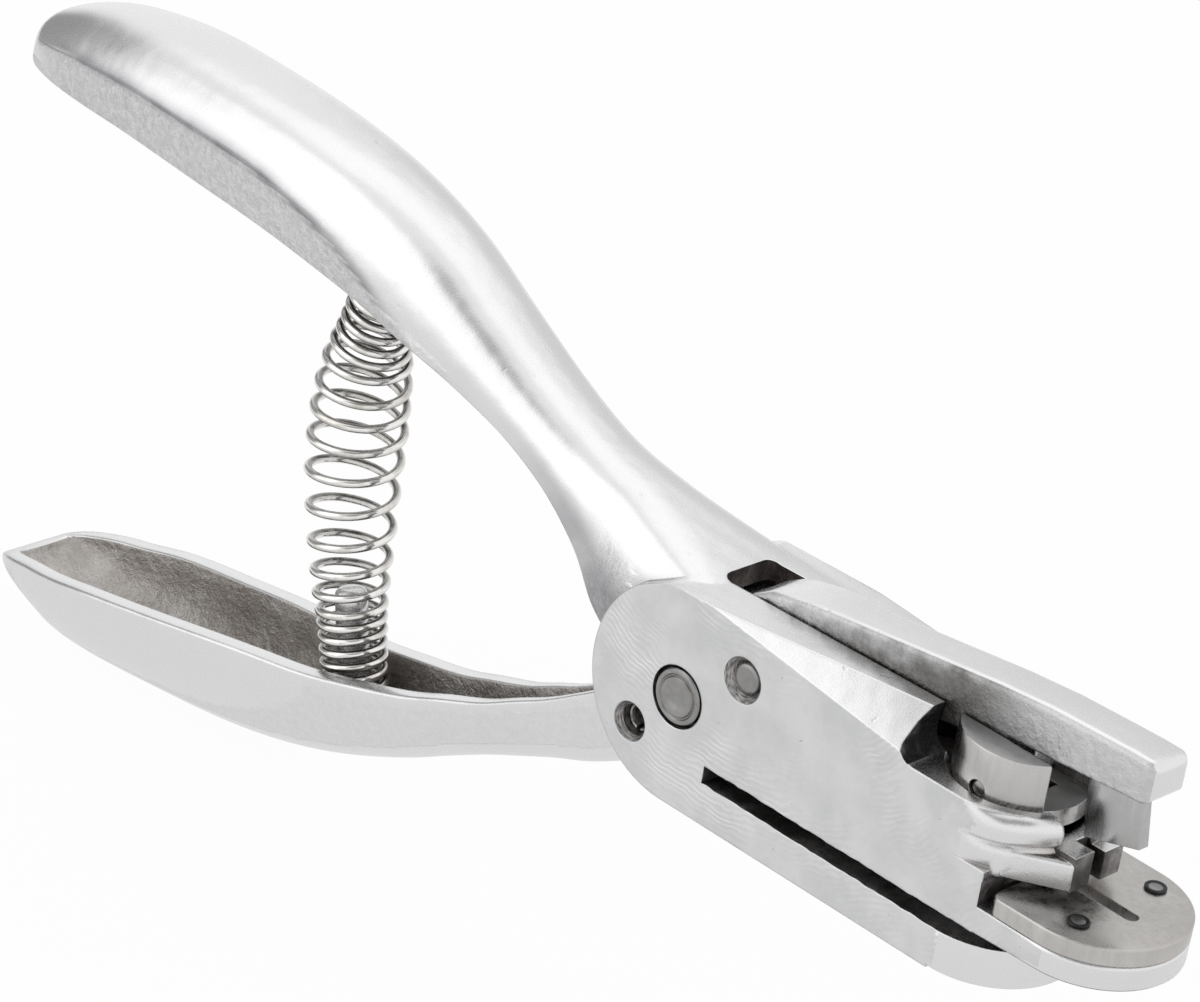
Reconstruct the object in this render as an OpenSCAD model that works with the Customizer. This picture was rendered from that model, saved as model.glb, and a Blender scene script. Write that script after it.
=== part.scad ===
// Double punch pliers: one cast frame with a boat-shaped upper handle, one cast lever that
// is the lower handle behind the pivot and the punch arm in front of it, a round hole punch
// that slides in the frame, and a flat slot blade that the arm carries over a riveted die plate.
// Millimetres, +Z up, +X towards the jaw, near side at -Y. Shown open, as the spring holds it.

/* [Head of the frame] */
// Width of the head across the two flat machined sides
head_w = 16.8; // [15.5:0.1:18.5]
// Radius of the round rear end of the head, about the pivot
disc_r = 10.9; // [10.5:0.1:11.5]
// Height of the flat top of the cheeks above the pivot, at the window
cheek_top = 10.5; // [10.1:0.1:11]
// Place of the front end of the cheeks, ahead of the pivot
cheek_front = 26; // [25.4:0.1:26.8]
// Height of the ledge and of the boss rim round the hole punch
boss_top = 6.7; // [6.4:0.1:6.9]
// Width of the slot between the cheeks
lever_gap = 6.7; // [6.5:0.1:7]
// Distance of the hole punch ahead of the pivot
punch_x = 33.5; // [33.2:0.1:34]
// Gap left for the card over the die plate
card_gap = 0.7; // [0.6:0.05:0.95]
// Height of the long side slot
throat_h = 1.8; // [1.6:0.1:2]
// Place of the rear end of the long side slot, ahead of the pivot
throat_rear = 4.6; // [4:0.1:8]
// Middle of the round front of the lip and the die plate, ahead of the pivot
lip_end_x = 44.6; // [44.2:0.1:45.4]

/* [Handles] */
// Reach of the upper handle behind the pivot
upper_reach = 103.3; // [99:0.5:109]
// Reach of the lower handle behind the pivot
lower_reach = 101.4; // [97:0.5:107]
// Height of the upper grip over its fullest part, from rim to crown
upper_grip_h = 9.6; // [9:0.1:10.6]
// Height of the lower grip over its fullest part, from rim to floor
lower_grip_h = 8.4; // [7.8:0.1:9.4]
// Wall of the cast handles beside their hollow
wall = 1.7; // [1.3:0.1:2.2]
// Thickness of the cast handles at the back of their hollow
web = 2.6; // [2.2:0.1:3]
// Scale of the width of both handles
handle_w_scale = 1; // [0.9:0.01:1.08]

/* [Pins] */
// Diameter of the pivot rivet
pivot_d = 5; // [4.6:0.1:5.4]
// Diameter of the solid pin that stops the lever when it is squeezed
stop_d = 3; // [2.8:0.1:3.2]
// Outer diameter of the hollow spring pin that stops the lever when it opens
roll_d = 3; // [2.8:0.1:3.1]
// Bore of the hollow spring pin
roll_bore = 1.7; // [1.4:0.1:1.9]

/* [Punches and dies] */
// Diameter of the head of the hole punch
punch_head_d = 12.7; // [12.4:0.1:12.9]
// Diameter of the hole that the hole punch makes
hole_d = 6; // [5.8:0.1:6.2]
// Thickness of the slot blade
blade_t = 1.4; // [1.2:0.05:1.6]
// Length of the slot that the blade makes
blade_len = 5.9; // [5.6:0.1:6.1]
// Thickness of the steel die plate
plate_t = 1.85; // [1.7:0.05:1.95]
// Diameter of the two die plate rivets
rivet_d = 1.8; // [1.7:0.1:2]
// Distance between the two die plate rivets
rivet_pitch = 10.7; // [10.4:0.1:11]
// How far the pair of rivets sits towards the far side
rivet_side = 0.4; // [0:0.1:0.5]

/* [Return spring] */
// Diameter of the spring wire
wire_d = 0.8; // [0.75:0.01:0.84]
// Widest outer diameter of the barrel spring
spring_d = 10.2; // [9.4:0.1:10.4]
// Outer diameter of the spring at its lower end
spring_low_d = 7.1; // [6.8:0.1:7.4]
// Outer diameter of the spring at its upper end
spring_top_d = 7; // [6.6:0.1:7.4]

/* [Nodes] */
// Which sub-part to draw

/* [Hidden] */
$fn = 64;
tiny = 0.01;
over = 1;

// Clearances
run_fit = 0.05;
slide_gap = 0.3;
pin_fit = 0.02;

// Widths of the head
half_w = head_w / 2;
lever_w = lever_gap - 2 * slide_gap;
half_l = lever_w / 2;

// Heights of the layers of the jaw, from the die plate down
plate_top = -0.55;
plate_low = plate_top - plate_t;
lip_low = -5;
strip_top = lip_low - throat_h;
strip_low = -disc_r;
boss_low = plate_top + card_gap;

// Lengths along the jaw
plate_rear = 38.7;
card_stop = 37.6;
nose_x = 43.4;
nose_half = 3.4;
nose_top = 4;
crease_z = 4.1;
front_x = lip_end_x + half_w;

// Travel of the lever
squeeze = 8.6;

// Places of the two stop pins
stop_x = 7.2;
stop_z = 5.35;
roll_x = -5.1;
roll_z = -5.15;
hub_r = 8.2;
hub_room = hub_r + 0.5;

// Front end of the punch arm
arm_end = 49.2;
arm_round = 1.6;

// Hole punch
punch_top = 11.1;
punch_low = 5.5;
punch_slot_z = 6.5;
pin_z = 6.9;
cross_d = 1.7;
bore_r = punch_head_d / 2 + run_fit;
tongue_t = 2.6;
tongue_l = 3.8;
pocket_w = tongue_t + 2 * slide_gap;
pocket_l = tongue_l + 1.4;
pocket_low = 4.7;
shoulder_d = 7.2;
shoulder_low = 4.1;
punch_tip = -4.75;
stroke = punch_x * sin(squeeze) + pin_z * (1 - cos(squeeze));
pin_play = 0.12;

// Blade
blade_x = 41.8;
blade_z = 4.6;
blade_root = 13.2;
die_slot_w = blade_t + 2 * run_fit;

// Handles: station tables in the plane of symmetry, each row one cross-section
// upper: x of crown, z of crown, x of rim, z of rim, half width
upper_stations = [
    [-103.3, 24.3, -103.3, 23.4, 0.9],
    [-102.8, 25.3, -102.9, 22.7, 2.4],
    [-101.5, 26.7, -101.6, 22.4, 4.1],
    [-99.0, 28.3, -99.2, 22.4, 5.9],
    [-93.0, 30.6, -93.0, 22.3, 7.1],
    [-84.0, 32.0, -83.5, 22.4, 8.0],
    [-73.8, 31.9, -72.9, 21.7, 8.2],
    [-63.2, 31.3, -62.0, 20.6, 7.9],
    [-52.8, 29.8, -52.2, 18.9, 7.3],
    [-43.6, 26.9, -44.3, 17.1, 6.6],
    [-35.3, 22.4, -36.4, 15.2, 5.9],
    [-27.8, 18.4, -29.3, 12.9, 5.4],
    [-20.8, 15.5, -23.1, 9.9, 5.3],
    [-13.6, 13.8, -17.7, 6.3, 5.8],
    [-6.1, 12.1, -13.2, 2.6, 7.0],
    [-1.0, 10.6, -8.0, 0, 7.8]
];
// lower: x of floor, z of floor, x of rim, z of rim, half width
lower_stations = [
    [-101.4, -34.4, -101.4, -33.6, 1.2],
    [-100.7, -35.3, -100.8, -33.1, 2.7],
    [-99.1, -36.5, -99.2, -32.3, 4.2],
    [-96.5, -37.4, -96.7, -31.5, 5.2],
    [-92.6, -37.9, -92.6, -30.6, 6.6],
    [-86.9, -38.0, -86.9, -29.6, 7.6],
    [-80.9, -37.7, -80.9, -28.2, 8.1],
    [-72.1, -37.0, -72.1, -26.6, 7.9],
    [-63.4, -36.1, -63.4, -25.0, 7.5],
    [-56.8, -35.0, -56.8, -24.0, 6.9],
    [-50.4, -33.3, -50.4, -23.0, 6.4],
    [-44.2, -31.0, -44.2, -21.5, 5.9],
    [-37.7, -28.0, -37.7, -19.7, 5.2],
    [-32.8, -25.3, -32.8, -17.8, 4.7],
    [-27.9, -22.7, -27.9, -15.9, 4.2],
    [-23.8, -20.8, -24.0, -13.9, 3.7],
    [-19.6, -18.9, -20.3, -12.0, 3.25],
    [-15.0, -17.0, -15.6, -9.0, 2.9],
    [-9.0, -13.6, -10.6, -5.6, 2.9],
    [-3.0, -9.4, -6.0, -2.4, 2.9]
];

// Behind the spring the stations follow the reach of their handle and the height of its grip
grip_from = -58;
grip_full = 5;
grip_fade = 20;
function grip(rows, reach, h) = let (
    long = (reach + grip_from) / (-rows[0][0] + grip_from),
    deep = h / abs(rows[grip_full][1] - rows[grip_full][3]))
    [for (r = rows) let (d = lerp(1, deep, min(1, (grip_from - r[0]) / grip_fade)))
        r[0] > grip_from ? r :
        [grip_from + (r[0] - grip_from) * long, lerp(r[3], r[1], d),
         grip_from + (r[2] - grip_from) * long, r[3], r[4]]];
upper = grip(upper_stations, upper_reach, upper_grip_h);
lower = grip(lower_stations, lower_reach, lower_grip_h);

// Frame of reference: the middle of the box in X, the side plane of symmetry, the lowest point
x_back = min([for (r = upper) min(r[0], r[2])]);
z_bottom = min([for (r = lower) r[1]]);
ref_x = (front_x + x_back) / 2;
ref_z = z_bottom;

module placed() {
    translate([-ref_x, 0, -ref_z]) children();
}

// A side profile, drawn in X and Z, given a width across Y
module across(w) {
    translate([0, w / 2, 0]) rotate([90, 0, 0]) linear_extrude(w) children();
}

// A cylinder that lies across the tool
module cross_cyl(x, z, d, w) {
    translate([x, w / 2, z]) rotate([90, 0, 0]) cylinder(d = d, h = w);
}

// One cross-section of a handle: a crown curve from rim to rim, then the straight rim line
function lerp(a, b, t) = a + (b - a) * t;
function arc_part(t, p) = sign(t) * pow(abs(t), p);
function section(row, n, p, wide) =
    [for (i = [0 : n])
        let (a = 180 * i / n, c = arc_part(cos(a), p), s = arc_part(sin(a), p))
        [lerp(row[2], row[0], s), c * row[4] * wide, lerp(row[3], row[1], s)]];

// Skin over all cross-sections, closed at both ends; faces turn over when the crown is above
function turned(faces, yes) = yes ? [for (f = faces) [for (i = [len(f) - 1 : -1 : 0]) f[i]]] : faces;
module loft(rows, n, p, wide) {
    m = n + 1;
    k = len(rows);
    pts = [for (r = rows) each section(r, n, p, wide)];
    quads = [for (j = [0 : k - 2], i = [0 : n])
        let (a = j * m + i, b = j * m + (i + 1) % m)
        each [[a, b, b + m], [a, b + m, a + m]]];
    first = [[for (i = [0 : n]) n - i]];
    last = [[for (i = [0 : n]) (k - 1) * m + i]];
    faces = concat(quads, first, last);
    polyhedron(points = pts, faces = turned(faces, rows[1][1] > rows[1][3]), convexity = 8);
}

// The hollow of a handle: the same stations, narrower by the wall and lower than the crown by
// the web, with the rim raised so that the cut leaves no skin
function hollow(rows, from, to, up) = [for (i = [from : to])
    let (r = rows[i], dx = r[0] - r[2], dz = r[1] - r[3], h = sqrt(dx * dx + dz * dz))
    [lerp(r[0], r[2], web / h), lerp(r[1], r[3], web / h),
     lerp(r[2], r[0], -up / h), lerp(r[3], r[1], -up / h),
     r[4] * handle_w_scale - wall]];

module upper_handle() {
    difference() {
        loft(upper, 18, 0.72, handle_w_scale);
        loft(hollow(upper, 4, 10, 1.2), 14, 0.72, 1);
    }
    spring_boss();
}

// Cast seat for the upper end of the spring, hanging from the roof of the hollow
seat_top = [-51.7, 19];
seat_top_lean = 22;
module spring_boss() {
    translate([seat_top[0], 0, seat_top[1]]) rotate([0, seat_top_lean, 0]) {
        cylinder(d1 = 8, d2 = 8.6, h = 8);
        translate([0, 0, -2]) cylinder(d = 3.2, h = 3);
    }
}

// Head of the frame before any cutting
module head_solid() {
    cross_cyl(0, 0, 2 * disc_r, head_w);
    across(head_w) polygon([[0, strip_low], [punch_x, strip_low], [punch_x, boss_top],
        [cheek_front, boss_top], [cheek_front + 0.2, cheek_top + 0.7],
        [-3.2, cheek_top], [-6, 8.6], [0, 0]]);
    boss_and_strip();
    lip();
}

// Round front of the strip and of the boss, whose upper tier bulges over a crease
module boss_and_strip() {
    translate([punch_x, 0, strip_low]) cylinder(r = half_w, h = strip_top - strip_low + tiny);
    translate([punch_x, 0, boss_low]) cylinder(r = half_w, h = boss_top - boss_low);
    intersection() {
        translate([punch_x, 0, crease_z]) union() {
            cylinder(r1 = half_w + 0.05, r2 = half_w + 0.35, h = 0.9);
            translate([0, 0, 0.9]) cylinder(r = half_w + 0.35, h = 0.8);
            translate([0, 0, 1.7]) cylinder(r1 = half_w + 0.35, r2 = half_w, h = 0.9);
        }
        translate([punch_x, -half_w, 0]) cube([20, head_w, 20]);
    }
    translate([0, 0, boss_low + 0.4]) linear_extrude(crease_z - 1.1 - boss_low) nose_plan();
    translate([nose_x - 5, -nose_half, boss_low + 0.4])
        cube([5, 2 * nose_half, nose_top - boss_low - 0.4]);
}

// Plan of the nose: straight from its two corners to where they meet the round boss
module nose_plan() {
    dx = nose_x - punch_x;
    a = atan2(nose_half, dx) + acos(half_w / sqrt(dx * dx + nose_half * nose_half));
    tx = punch_x + half_w * cos(a);
    ty = half_w * sin(a);
    polygon([[punch_x, 0], [tx, ty], [nose_x, nose_half], [nose_x, -nose_half], [tx, -ty]]);
}

// Lip that carries the die plate
module lip() {
    translate([0, 0, lip_low]) linear_extrude(plate_low - lip_low) {
        translate([punch_x - 6, -half_w]) square([lip_end_x - punch_x + 6, head_w]);
        translate([lip_end_x, 0]) circle(r = half_w);
    }
    translate([punch_x - 6, -half_w, lip_low])
        cube([card_stop - punch_x + 6, head_w, boss_low - lip_low + over]);
}

// Long facet on each cheek, which widens towards the jaw
module cheek_facet(side) {
    e = 0.6;
    a = [-5, side * (half_w + e), cheek_top + 0.4];
    b = [cheek_front + 3, side * (half_w + e), boss_top - 0.1];
    c = [cheek_front + 3, side * 4.1, cheek_top + 1.2];
    d = [cheek_front + 3, side * (half_w + e), cheek_top + 3];
    f = side < 0 ? [[0, 1, 2], [0, 2, 3], [0, 3, 1], [1, 3, 2]]
                 : [[0, 2, 1], [0, 3, 2], [0, 1, 3], [1, 2, 3]];
    polyhedron(points = [a, b, c, d], faces = f);
}

// Round edge worn along the top of the far cheek
module far_edge() {
    translate([-7, 0, 0]) rotate([90, 0, 90]) linear_extrude(cheek_front + 9)
        polygon([[half_w + over, 7.9], [half_w, 8.5], [half_w - 1.5, 9.55], [half_w - 3.2, 10.3],
            [half_w - 4.5, 10.8], [half_w - 4.5, 14], [half_w + over, 14]]);
}

// Room that the lever sweeps between the cheeks
module lever_room() {
    cross_cyl(0, 0, 2 * hub_room, lever_gap);
    across(lever_gap) polygon([[-1.4, 4], [-1.4, 16], [60, 24], [60, 8],
        [punch_x, 8], [punch_x, 5], [27, 4.7], [21, 3.2], [hub_room, -0.6], [4, -2]]);
    across(lever_gap) polygon([[0, 0], [-hub_room + 0.3, 2.2], [-34, 2.2], [-34, -30],
        [0, -30], [0, -hub_room]]);
}

module frame_bores() {
    cross_cyl(0, 0, pivot_d + 2 * pin_fit, head_w + over);
    cross_cyl(stop_x, stop_z, stop_d + 2 * pin_fit, head_w + over);
    cross_cyl(roll_x, roll_z, roll_d + 2 * pin_fit, head_w + over);
    for (s = [-1, 1]) {
        translate([0, s * half_w, 0]) rotate([90 * s, 0, 0])
            translate([0, 0, -over]) cylinder(d = pivot_d + 1.2, h = over + 1.2);
        translate([stop_x, s * half_w, stop_z]) rotate([90 * s, 0, 0])
            translate([0, 0, -0.6]) cylinder(d1 = stop_d + 2.4, d2 = stop_d + 0.1, h = 1.6);
        translate([roll_x, s * half_w, roll_z]) rotate([90 * s, 0, 0])
            translate([0, 0, -0.6]) cylinder(d1 = roll_d + 1.5, d2 = roll_d + 0.1, h = 1.3);
    }
}

// Bore of the hole punch, its guide hole, the opened front of the boss and the blade slit
module punch_room() {
    translate([punch_x, 0, boss_low - 0.15]) cylinder(r = bore_r, h = 12);
    translate([punch_x, 0, boss_top - 0.7])
        cylinder(r1 = bore_r, r2 = bore_r + 0.5, h = 0.71);
    translate([punch_x, 0, lip_low - over]) cylinder(d = hole_d + 2 * run_fit, h = 8);
    translate([punch_x, 0, shoulder_low - stroke - 0.4]) cylinder(d = shoulder_d + 0.2, h = 6);
    translate([punch_x + 3, -lever_gap / 2, nose_top]) cube([12, lever_gap, 12]);
    translate([blade_x - 0.55, -die_slot_w / 2 - 0.05, boss_low - over])
        cube([6, die_slot_w + 0.1, 6]);
}

// Card gap, the long side slot and the chip ways
module throats() {
    translate([card_stop, -20, plate_low]) cube([30, 40, boss_low - plate_low]);
    translate([throat_rear, -20, strip_top]) cube([60, 40, throat_h]);
    translate([punch_x, 0, strip_low - over])
        cylinder(d = bush_d + 2 * pin_fit, h = strip_top - strip_low + 2 * over);
    translate([blade_x - 0.9, -1.3, lip_low - over]) cube([blade_len + 2.2, 2.6, 4]);
    for (s = [-1, 1])
        translate([rivet_x, rivet_side + s * rivet_pitch / 2, lip_low - over])
            cylinder(d = rivet_d + 2 * pin_fit, h = 4);
}

module frame_casting() {
    color([0.80, 0.80, 0.81]) placed() {
        difference() {
            union() {
                difference() {
                    head_solid();
                    far_edge();
                }
                upper_handle();
            }
            cheek_facet(-1);
            cheek_facet(1);
            lever_room();
            frame_bores();
            punch_room();
            throats();
        }
    }
}

// Hub and punch arm, one piece with the lower handle
module arm_plate() {
    intersection() {
        across(lever_w) {
            circle(r = hub_r);
            polygon([[2, 10.4], [4.4, 11.7], [8.5, 12.6], [12.7, 13.2], [18, 13.9], [25.6, 14.8],
                [31.3, 15.3], [37, 15.7], [43, 15.6], [48.4, 15.3], [49.3, 14.5], [49.2, 13.2],
                [46, 12.3], [43.6, 11.7], [39.7, 11.35],
                [27.4, 10.3], [20, 7.6], [7.6, 3.2], [2, 2]]);
        }
        translate([0, 0, -30]) linear_extrude(60) {
            translate([-30, -half_l]) square([arm_end - arm_round + 30, lever_w]);
            translate([0, arm_round - half_l])
                square([arm_end, lever_w - 2 * arm_round]);
            for (s = [-1, 1]) translate([arm_end - arm_round, s * (half_l - arm_round)])
                circle(r = arm_round);
        }
    }
}

// Tongue of the arm that reaches down into the hole punch
module arm_tongue() {
    h = tongue_l / 2;
    across(tongue_t) polygon([[punch_x - h, 12], [punch_x + h, 12], [punch_x + h, 5.7],
        [punch_x + h - 0.6, 5.1], [punch_x - h + 0.6, 5.1], [punch_x - h, 5.7]]);
}

// Long hole for the cross pin, since the tongue swings while the hole punch goes straight
module tongue_hole() {
    back = stroke * sin(squeeze) + 0.05;
    h = cross_d + 2 * pin_play;
    cross_cyl(punch_x + 0.05, pin_z, h, head_w);
    cross_cyl(punch_x - back, pin_z, h, head_w);
    translate([punch_x - back, -half_w, pin_z - h / 2]) cube([back + 0.05, head_w, h]);
}

// Slot curved about the pivot, so that a fixed pin can pass while the lever swings
function arc_points(cx, cz, r, a0, a1, n) = [for (i = [0 : n])
    let (a = lerp(a0, a1, i / n)) [cx + r * cos(a), cz + r * sin(a)]];
module swing_slot(x, z, d) {
    r = sqrt(x * x + z * z);
    a0 = atan2(z, x);
    a1 = a0 + squeeze;
    across(head_w) polygon(concat(
        arc_points(0, 0, r + d / 2, a0, a1, 6),
        arc_points(r * cos(a1), r * sin(a1), d / 2, a1 + 15, a1 + 165, 10),
        arc_points(0, 0, r - d / 2, a1, a0, 6),
        arc_points(x, z, d / 2, a0 + 195, a0 + 345, 10)));
}

module lever_casting() {
    color([0.77, 0.77, 0.78]) placed() difference() {
        union() {
            difference() {
                loft(lower, 18, 0.72, handle_w_scale);
                loft(hollow(lower, 3, 14, 1.5), 14, 0.72, 1);
            }
            arm_plate();
            arm_tongue();
            spring_peg();
        }
        cross_cyl(0, 0, pivot_d + 2 * run_fit, head_w);
        swing_slot(stop_x, stop_z, stop_d + 0.3);
        swing_slot(roll_x, roll_z, roll_d + 0.3);
        tongue_hole();
        across(blade_t + 2 * pin_fit) blade_outline(pin_fit);
    }
}

// Seat and peg that keep the lower end of the spring in place, leaning back with the channel
seat_low = [-47.75, -28.3];
seat_low_lean = -13;
peg_len = 13.6;
module spring_peg() {
    translate([seat_low[0], 0, seat_low[1]]) rotate([0, seat_low_lean, 0]) {
        translate([0, 0, -2.9]) cylinder(d1 = 8.4, d2 = 7.8, h = 2.9);
        translate([0, 0, -0.5]) cylinder(d = 3.4, h = peg_len);
        translate([0, 0, peg_len - 0.51]) cylinder(d1 = 3.4, d2 = 2.2, h = 0.8);
    }
}

// Pivot rivet: a plain shank with a low domed head closed down at each side
module pivot_rivet() {
    color([0.62, 0.62, 0.61]) placed() {
        cross_cyl(0, 0, pivot_d, head_w - 0.2);
        for (s = [-1, 1]) translate([0, s * (half_w + 0.1), 0]) rotate([90 * s, 0, 0]) difference() {
            cylinder(d = pivot_d + 1, h = 1.2);
            translate([0, 0, -0.2]) difference() {
                cylinder(d = pivot_d - 0.1, h = 0.5);
                translate([0, 0, -over]) cylinder(d = pivot_d - 0.9, h = 3);
            }
        }
    }
}

module closing_stop_pin() {
    color([0.66, 0.66, 0.65]) placed() {
        cross_cyl(stop_x, stop_z, stop_d, head_w - 1.4);
        for (s = [-1, 1]) translate([stop_x, s * (half_w - 0.7), stop_z]) rotate([-90 * s, 0, 0])
            cylinder(d1 = stop_d, d2 = stop_d - 0.6, h = 0.3);
    }
}

// Hollow spring pin with its slit
module opening_stop_pin() {
    color([0.55, 0.55, 0.54]) placed() difference() {
        cross_cyl(roll_x, roll_z, roll_d, head_w - 1.6);
        cross_cyl(roll_x, roll_z, roll_bore, head_w);
        translate([roll_x - 0.25, -head_w, roll_z - roll_d]) cube([0.5, 2 * head_w, roll_d]);
    }
}

// Hole punch: a round head slotted for the arm, on a plain cutting stem
module hole_punch() {
    color([0.70, 0.70, 0.69]) placed() difference() {
        translate([punch_x, 0, 0]) union() {
            translate([0, 0, punch_low]) cylinder(d = punch_head_d, h = punch_top - punch_low - 0.3);
            translate([0, 0, punch_top - 0.31])
                cylinder(d1 = punch_head_d, d2 = punch_head_d - 0.6, h = 0.31);
            translate([0, 0, shoulder_low]) cylinder(d = shoulder_d, h = punch_low - shoulder_low + tiny);
            translate([0, 0, punch_tip]) cylinder(d = hole_d, h = shoulder_low - punch_tip + tiny);
        }
        translate([punch_x - 10, -lever_gap / 2, punch_slot_z]) cube([20, lever_gap, 10]);
        translate([punch_x - tongue_l / 2 - 0.35, -pocket_w / 2, pocket_low])
            cube([pocket_l, pocket_w, 10]);
        cross_cyl(punch_x, pin_z, cross_d + 2 * pin_fit, head_w);
        translate([punch_x, 10, punch_tip - 0.75]) rotate([90, 0, 0]) cylinder(r = 1.6, h = 20);
    }
}

module punch_cross_pin() {
    color([0.60, 0.60, 0.60]) placed()
        cross_cyl(punch_x, pin_z, cross_d, punch_head_d - 0.5);
}

// Slot blade: a flat plate with a slanted cutting edge, set in the arm
module blade_outline(m) {
    lean = tan(squeeze);
    front = blade_x + blade_len;
    polygon([[blade_x - m, blade_z], [front + m, blade_z + 1.7],
        [front + m - lean * (blade_root - blade_z - 1.7), blade_root + m],
        [blade_x - m - lean * (blade_root - blade_z), blade_root + m]]);
}

module slot_blade() {
    color([0.72, 0.72, 0.71]) placed() across(blade_t) blade_outline(0);
}

// Die plate: round front, small rear corners, one slot and two rivet holes
rivet_x = 46.1;
module die_plate() {
    color([0.66, 0.64, 0.62]) placed() difference() {
        translate([0, 0, plate_low + pin_fit]) linear_extrude(plate_t - pin_fit) difference() {
            union() {
                intersection() {
                    translate([lip_end_x, 0]) circle(r = half_w);
                    translate([lip_end_x - 1, -half_w]) square([half_w + 2, head_w]);
                }
                translate([plate_rear + 1.2, -half_w])
                    square([lip_end_x - plate_rear - 1.2, head_w]);
                translate([plate_rear, -half_w + 1.2])
                    square([3, head_w - 2.4]);
                for (s = [-1, 1]) translate([plate_rear + 1.2, s * (half_w - 1.2)]) circle(r = 1.2);
            }
            for (s = [-1, 1]) translate([rivet_x, rivet_side + s * rivet_pitch / 2])
                circle(d = rivet_d + 2 * pin_fit);
            translate([blade_x - 0.5, -die_slot_w / 2]) square([blade_len + 0.8, die_slot_w]);
            translate([blade_x + blade_len + 0.3, 0]) circle(d = die_slot_w);
        }
    }
}

module die_plate_rivets() {
    color([0.12, 0.12, 0.13]) placed()
        for (s = [-1, 1]) translate([rivet_x, rivet_side + s * rivet_pitch / 2, lip_low]) {
            cylinder(d = rivet_d, h = plate_top - lip_low + 0.1);
            translate([0, 0, plate_top - lip_low + pin_fit]) difference() {
                cylinder(d = rivet_d + 0.3, h = 0.25);
                translate([0, 0, 0.1]) cylinder(d = rivet_d - 0.5, h = 1);
            }
        }
}

// Hardened bush in the strip, the die of the hole punch
bush_d = 10;
module hole_die_bush() {
    color([0.60, 0.60, 0.62]) placed() translate([punch_x, 0, strip_low]) difference() {
        cylinder(d = bush_d, h = strip_top - strip_low);
        translate([0, 0, -over]) cylinder(d = hole_d + 0.12, h = 20);
        translate([0, 0, -tiny]) cylinder(d1 = hole_d + 1.6, d2 = hole_d + 0.12, h = 2);
    }
}

// Return spring: one barrel-shaped tube, close coils at both ends. Each table pairs a height
// with the axis, with the lean of the coils and with the share of the widest diameter.
axis_at = [[-28, -47.8], [-24.4, -48.6], [-20.9, -49.5], [-15.1, -50.9], [-10.4, -51.7],
    [-4.5, -52.6], [0, -52.9], [5, -53], [9.2, -52.8], [13.3, -52.4], [19, -51.7]];
lean_at = [[-28, -13], [-19, -12], [-12, -8], [-4, -2], [3, 4], [9, 11], [13.5, 18], [19, 22]];
swell_at = [[-21, 0], [-17.5, 0.1], [-15, 0.3], [-10.4, 0.6], [-4.5, 0.9], [0, 1], [3, 1]];
taper_at = [[3, 1], [6.1, 0.9], [9.2, 0.7], [11.6, 0.3], [13.3, 0.12], [15, 0]];
wire_r = wire_d / 2;
rings = 8;
end_gap = 0.1;
spring_low_z = seat_low[1] + (wire_r + end_gap) * cos(seat_low_lean);
spring_high_z = seat_top[1] - (wire_r + end_gap) * cos(seat_top_lean);
close_p = 1.34;
low_turns = 8;
top_turns = 6.5;
open_turns = 9;
coils = low_turns + open_turns + top_turns;
open_span = spring_high_z - spring_low_z - (low_turns + top_turns) * close_p;
function height(n) = spring_low_z + min(n, low_turns) * close_p
    + open_span * ease(min(1, max(0, (n - low_turns) / open_turns)))
    + max(0, n - low_turns - open_turns) * close_p;
// The pitch of the open coils grows from the close coils and falls back to them
function ease(t) = t - 0.09 * sin(360 * t) * (1 - t * t) * 0.6;
function outer_d(z) = z < 2
    ? lerp(spring_low_d, spring_d, lookup(z, swell_at))
    : lerp(spring_top_d, spring_d, lookup(z, taper_at));
function coil_frame(n) = let (z = height(n), t = lookup(z, lean_at))
    [[lookup(z, axis_at), 0, z], [cos(t), 0, -sin(t)], [sin(t), 0, cos(t)], outer_d(z) / 2 - wire_r];
function coil_point(n) = let (f = coil_frame(n))
    f[0] + f[3] * (cos(360 * n) * f[1] + sin(360 * n) * [0, 1, 0]);

module return_spring() {
    steps = coils * rings;
    pts = [for (i = [0 : steps])
        let (n = i / rings, f = coil_frame(n), p = coil_point(n),
            out = cos(360 * n) * f[1] + sin(360 * n) * [0, 1, 0])
        each [for (j = [0 : 5]) p + wire_r * (cos(60 * j) * out + sin(60 * j) * f[2])]];
    quads = [for (i = [0 : steps - 1], j = [0 : 5])
        let (a = i * 6 + j, b = i * 6 + (j + 1) % 6)
        each [[a, a + 6, b + 6], [a, b + 6, b]]];
    first = [[0, 1, 2, 3, 4, 5]];
    last = [[for (j = [0 : 5]) steps * 6 + 5 - j]];
    color([0.80, 0.79, 0.75]) placed()
        polyhedron(points = pts, faces = concat(quads, first, last), convexity = 12);
}

// Least gap between neighbouring coils, measured on the points of the wire
fine = 24;
coil_gap = min([for (i = [0 : (coils - 1) * fine - 4]) for (k = [fine - 4 : fine + 4])
    norm(coil_point(i / fine) - coil_point((i + k) / fine))]) - wire_d;
echo(least_gap_between_coils = coil_gap);

frame_casting();
lever_casting();
pivot_rivet();
closing_stop_pin();
opening_stop_pin();
hole_punch();
punch_cross_pin();
slot_blade();
die_plate();
die_plate_rivets();
hole_die_bush();
return_spring();
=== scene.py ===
# %% [markdown]
# # Double punch pliers
#
# A hand tool for card: one cast frame holds the head and the upper handle, one cast lever is
# the lower handle and the punch arm. Squeezing drives a round hole punch and a flat blade.
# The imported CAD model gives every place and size. This script dresses it: each visible piece
# is modelled again with soft casting edges and its own finish, and stands on its CAD node.

# %% Load the frame
import bpy
import bmesh
from math import acos, asin, atan2, cos, degrees, exp, pi, radians, sin, sqrt, tan
from mathutils import Matrix, Vector, noise


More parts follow.
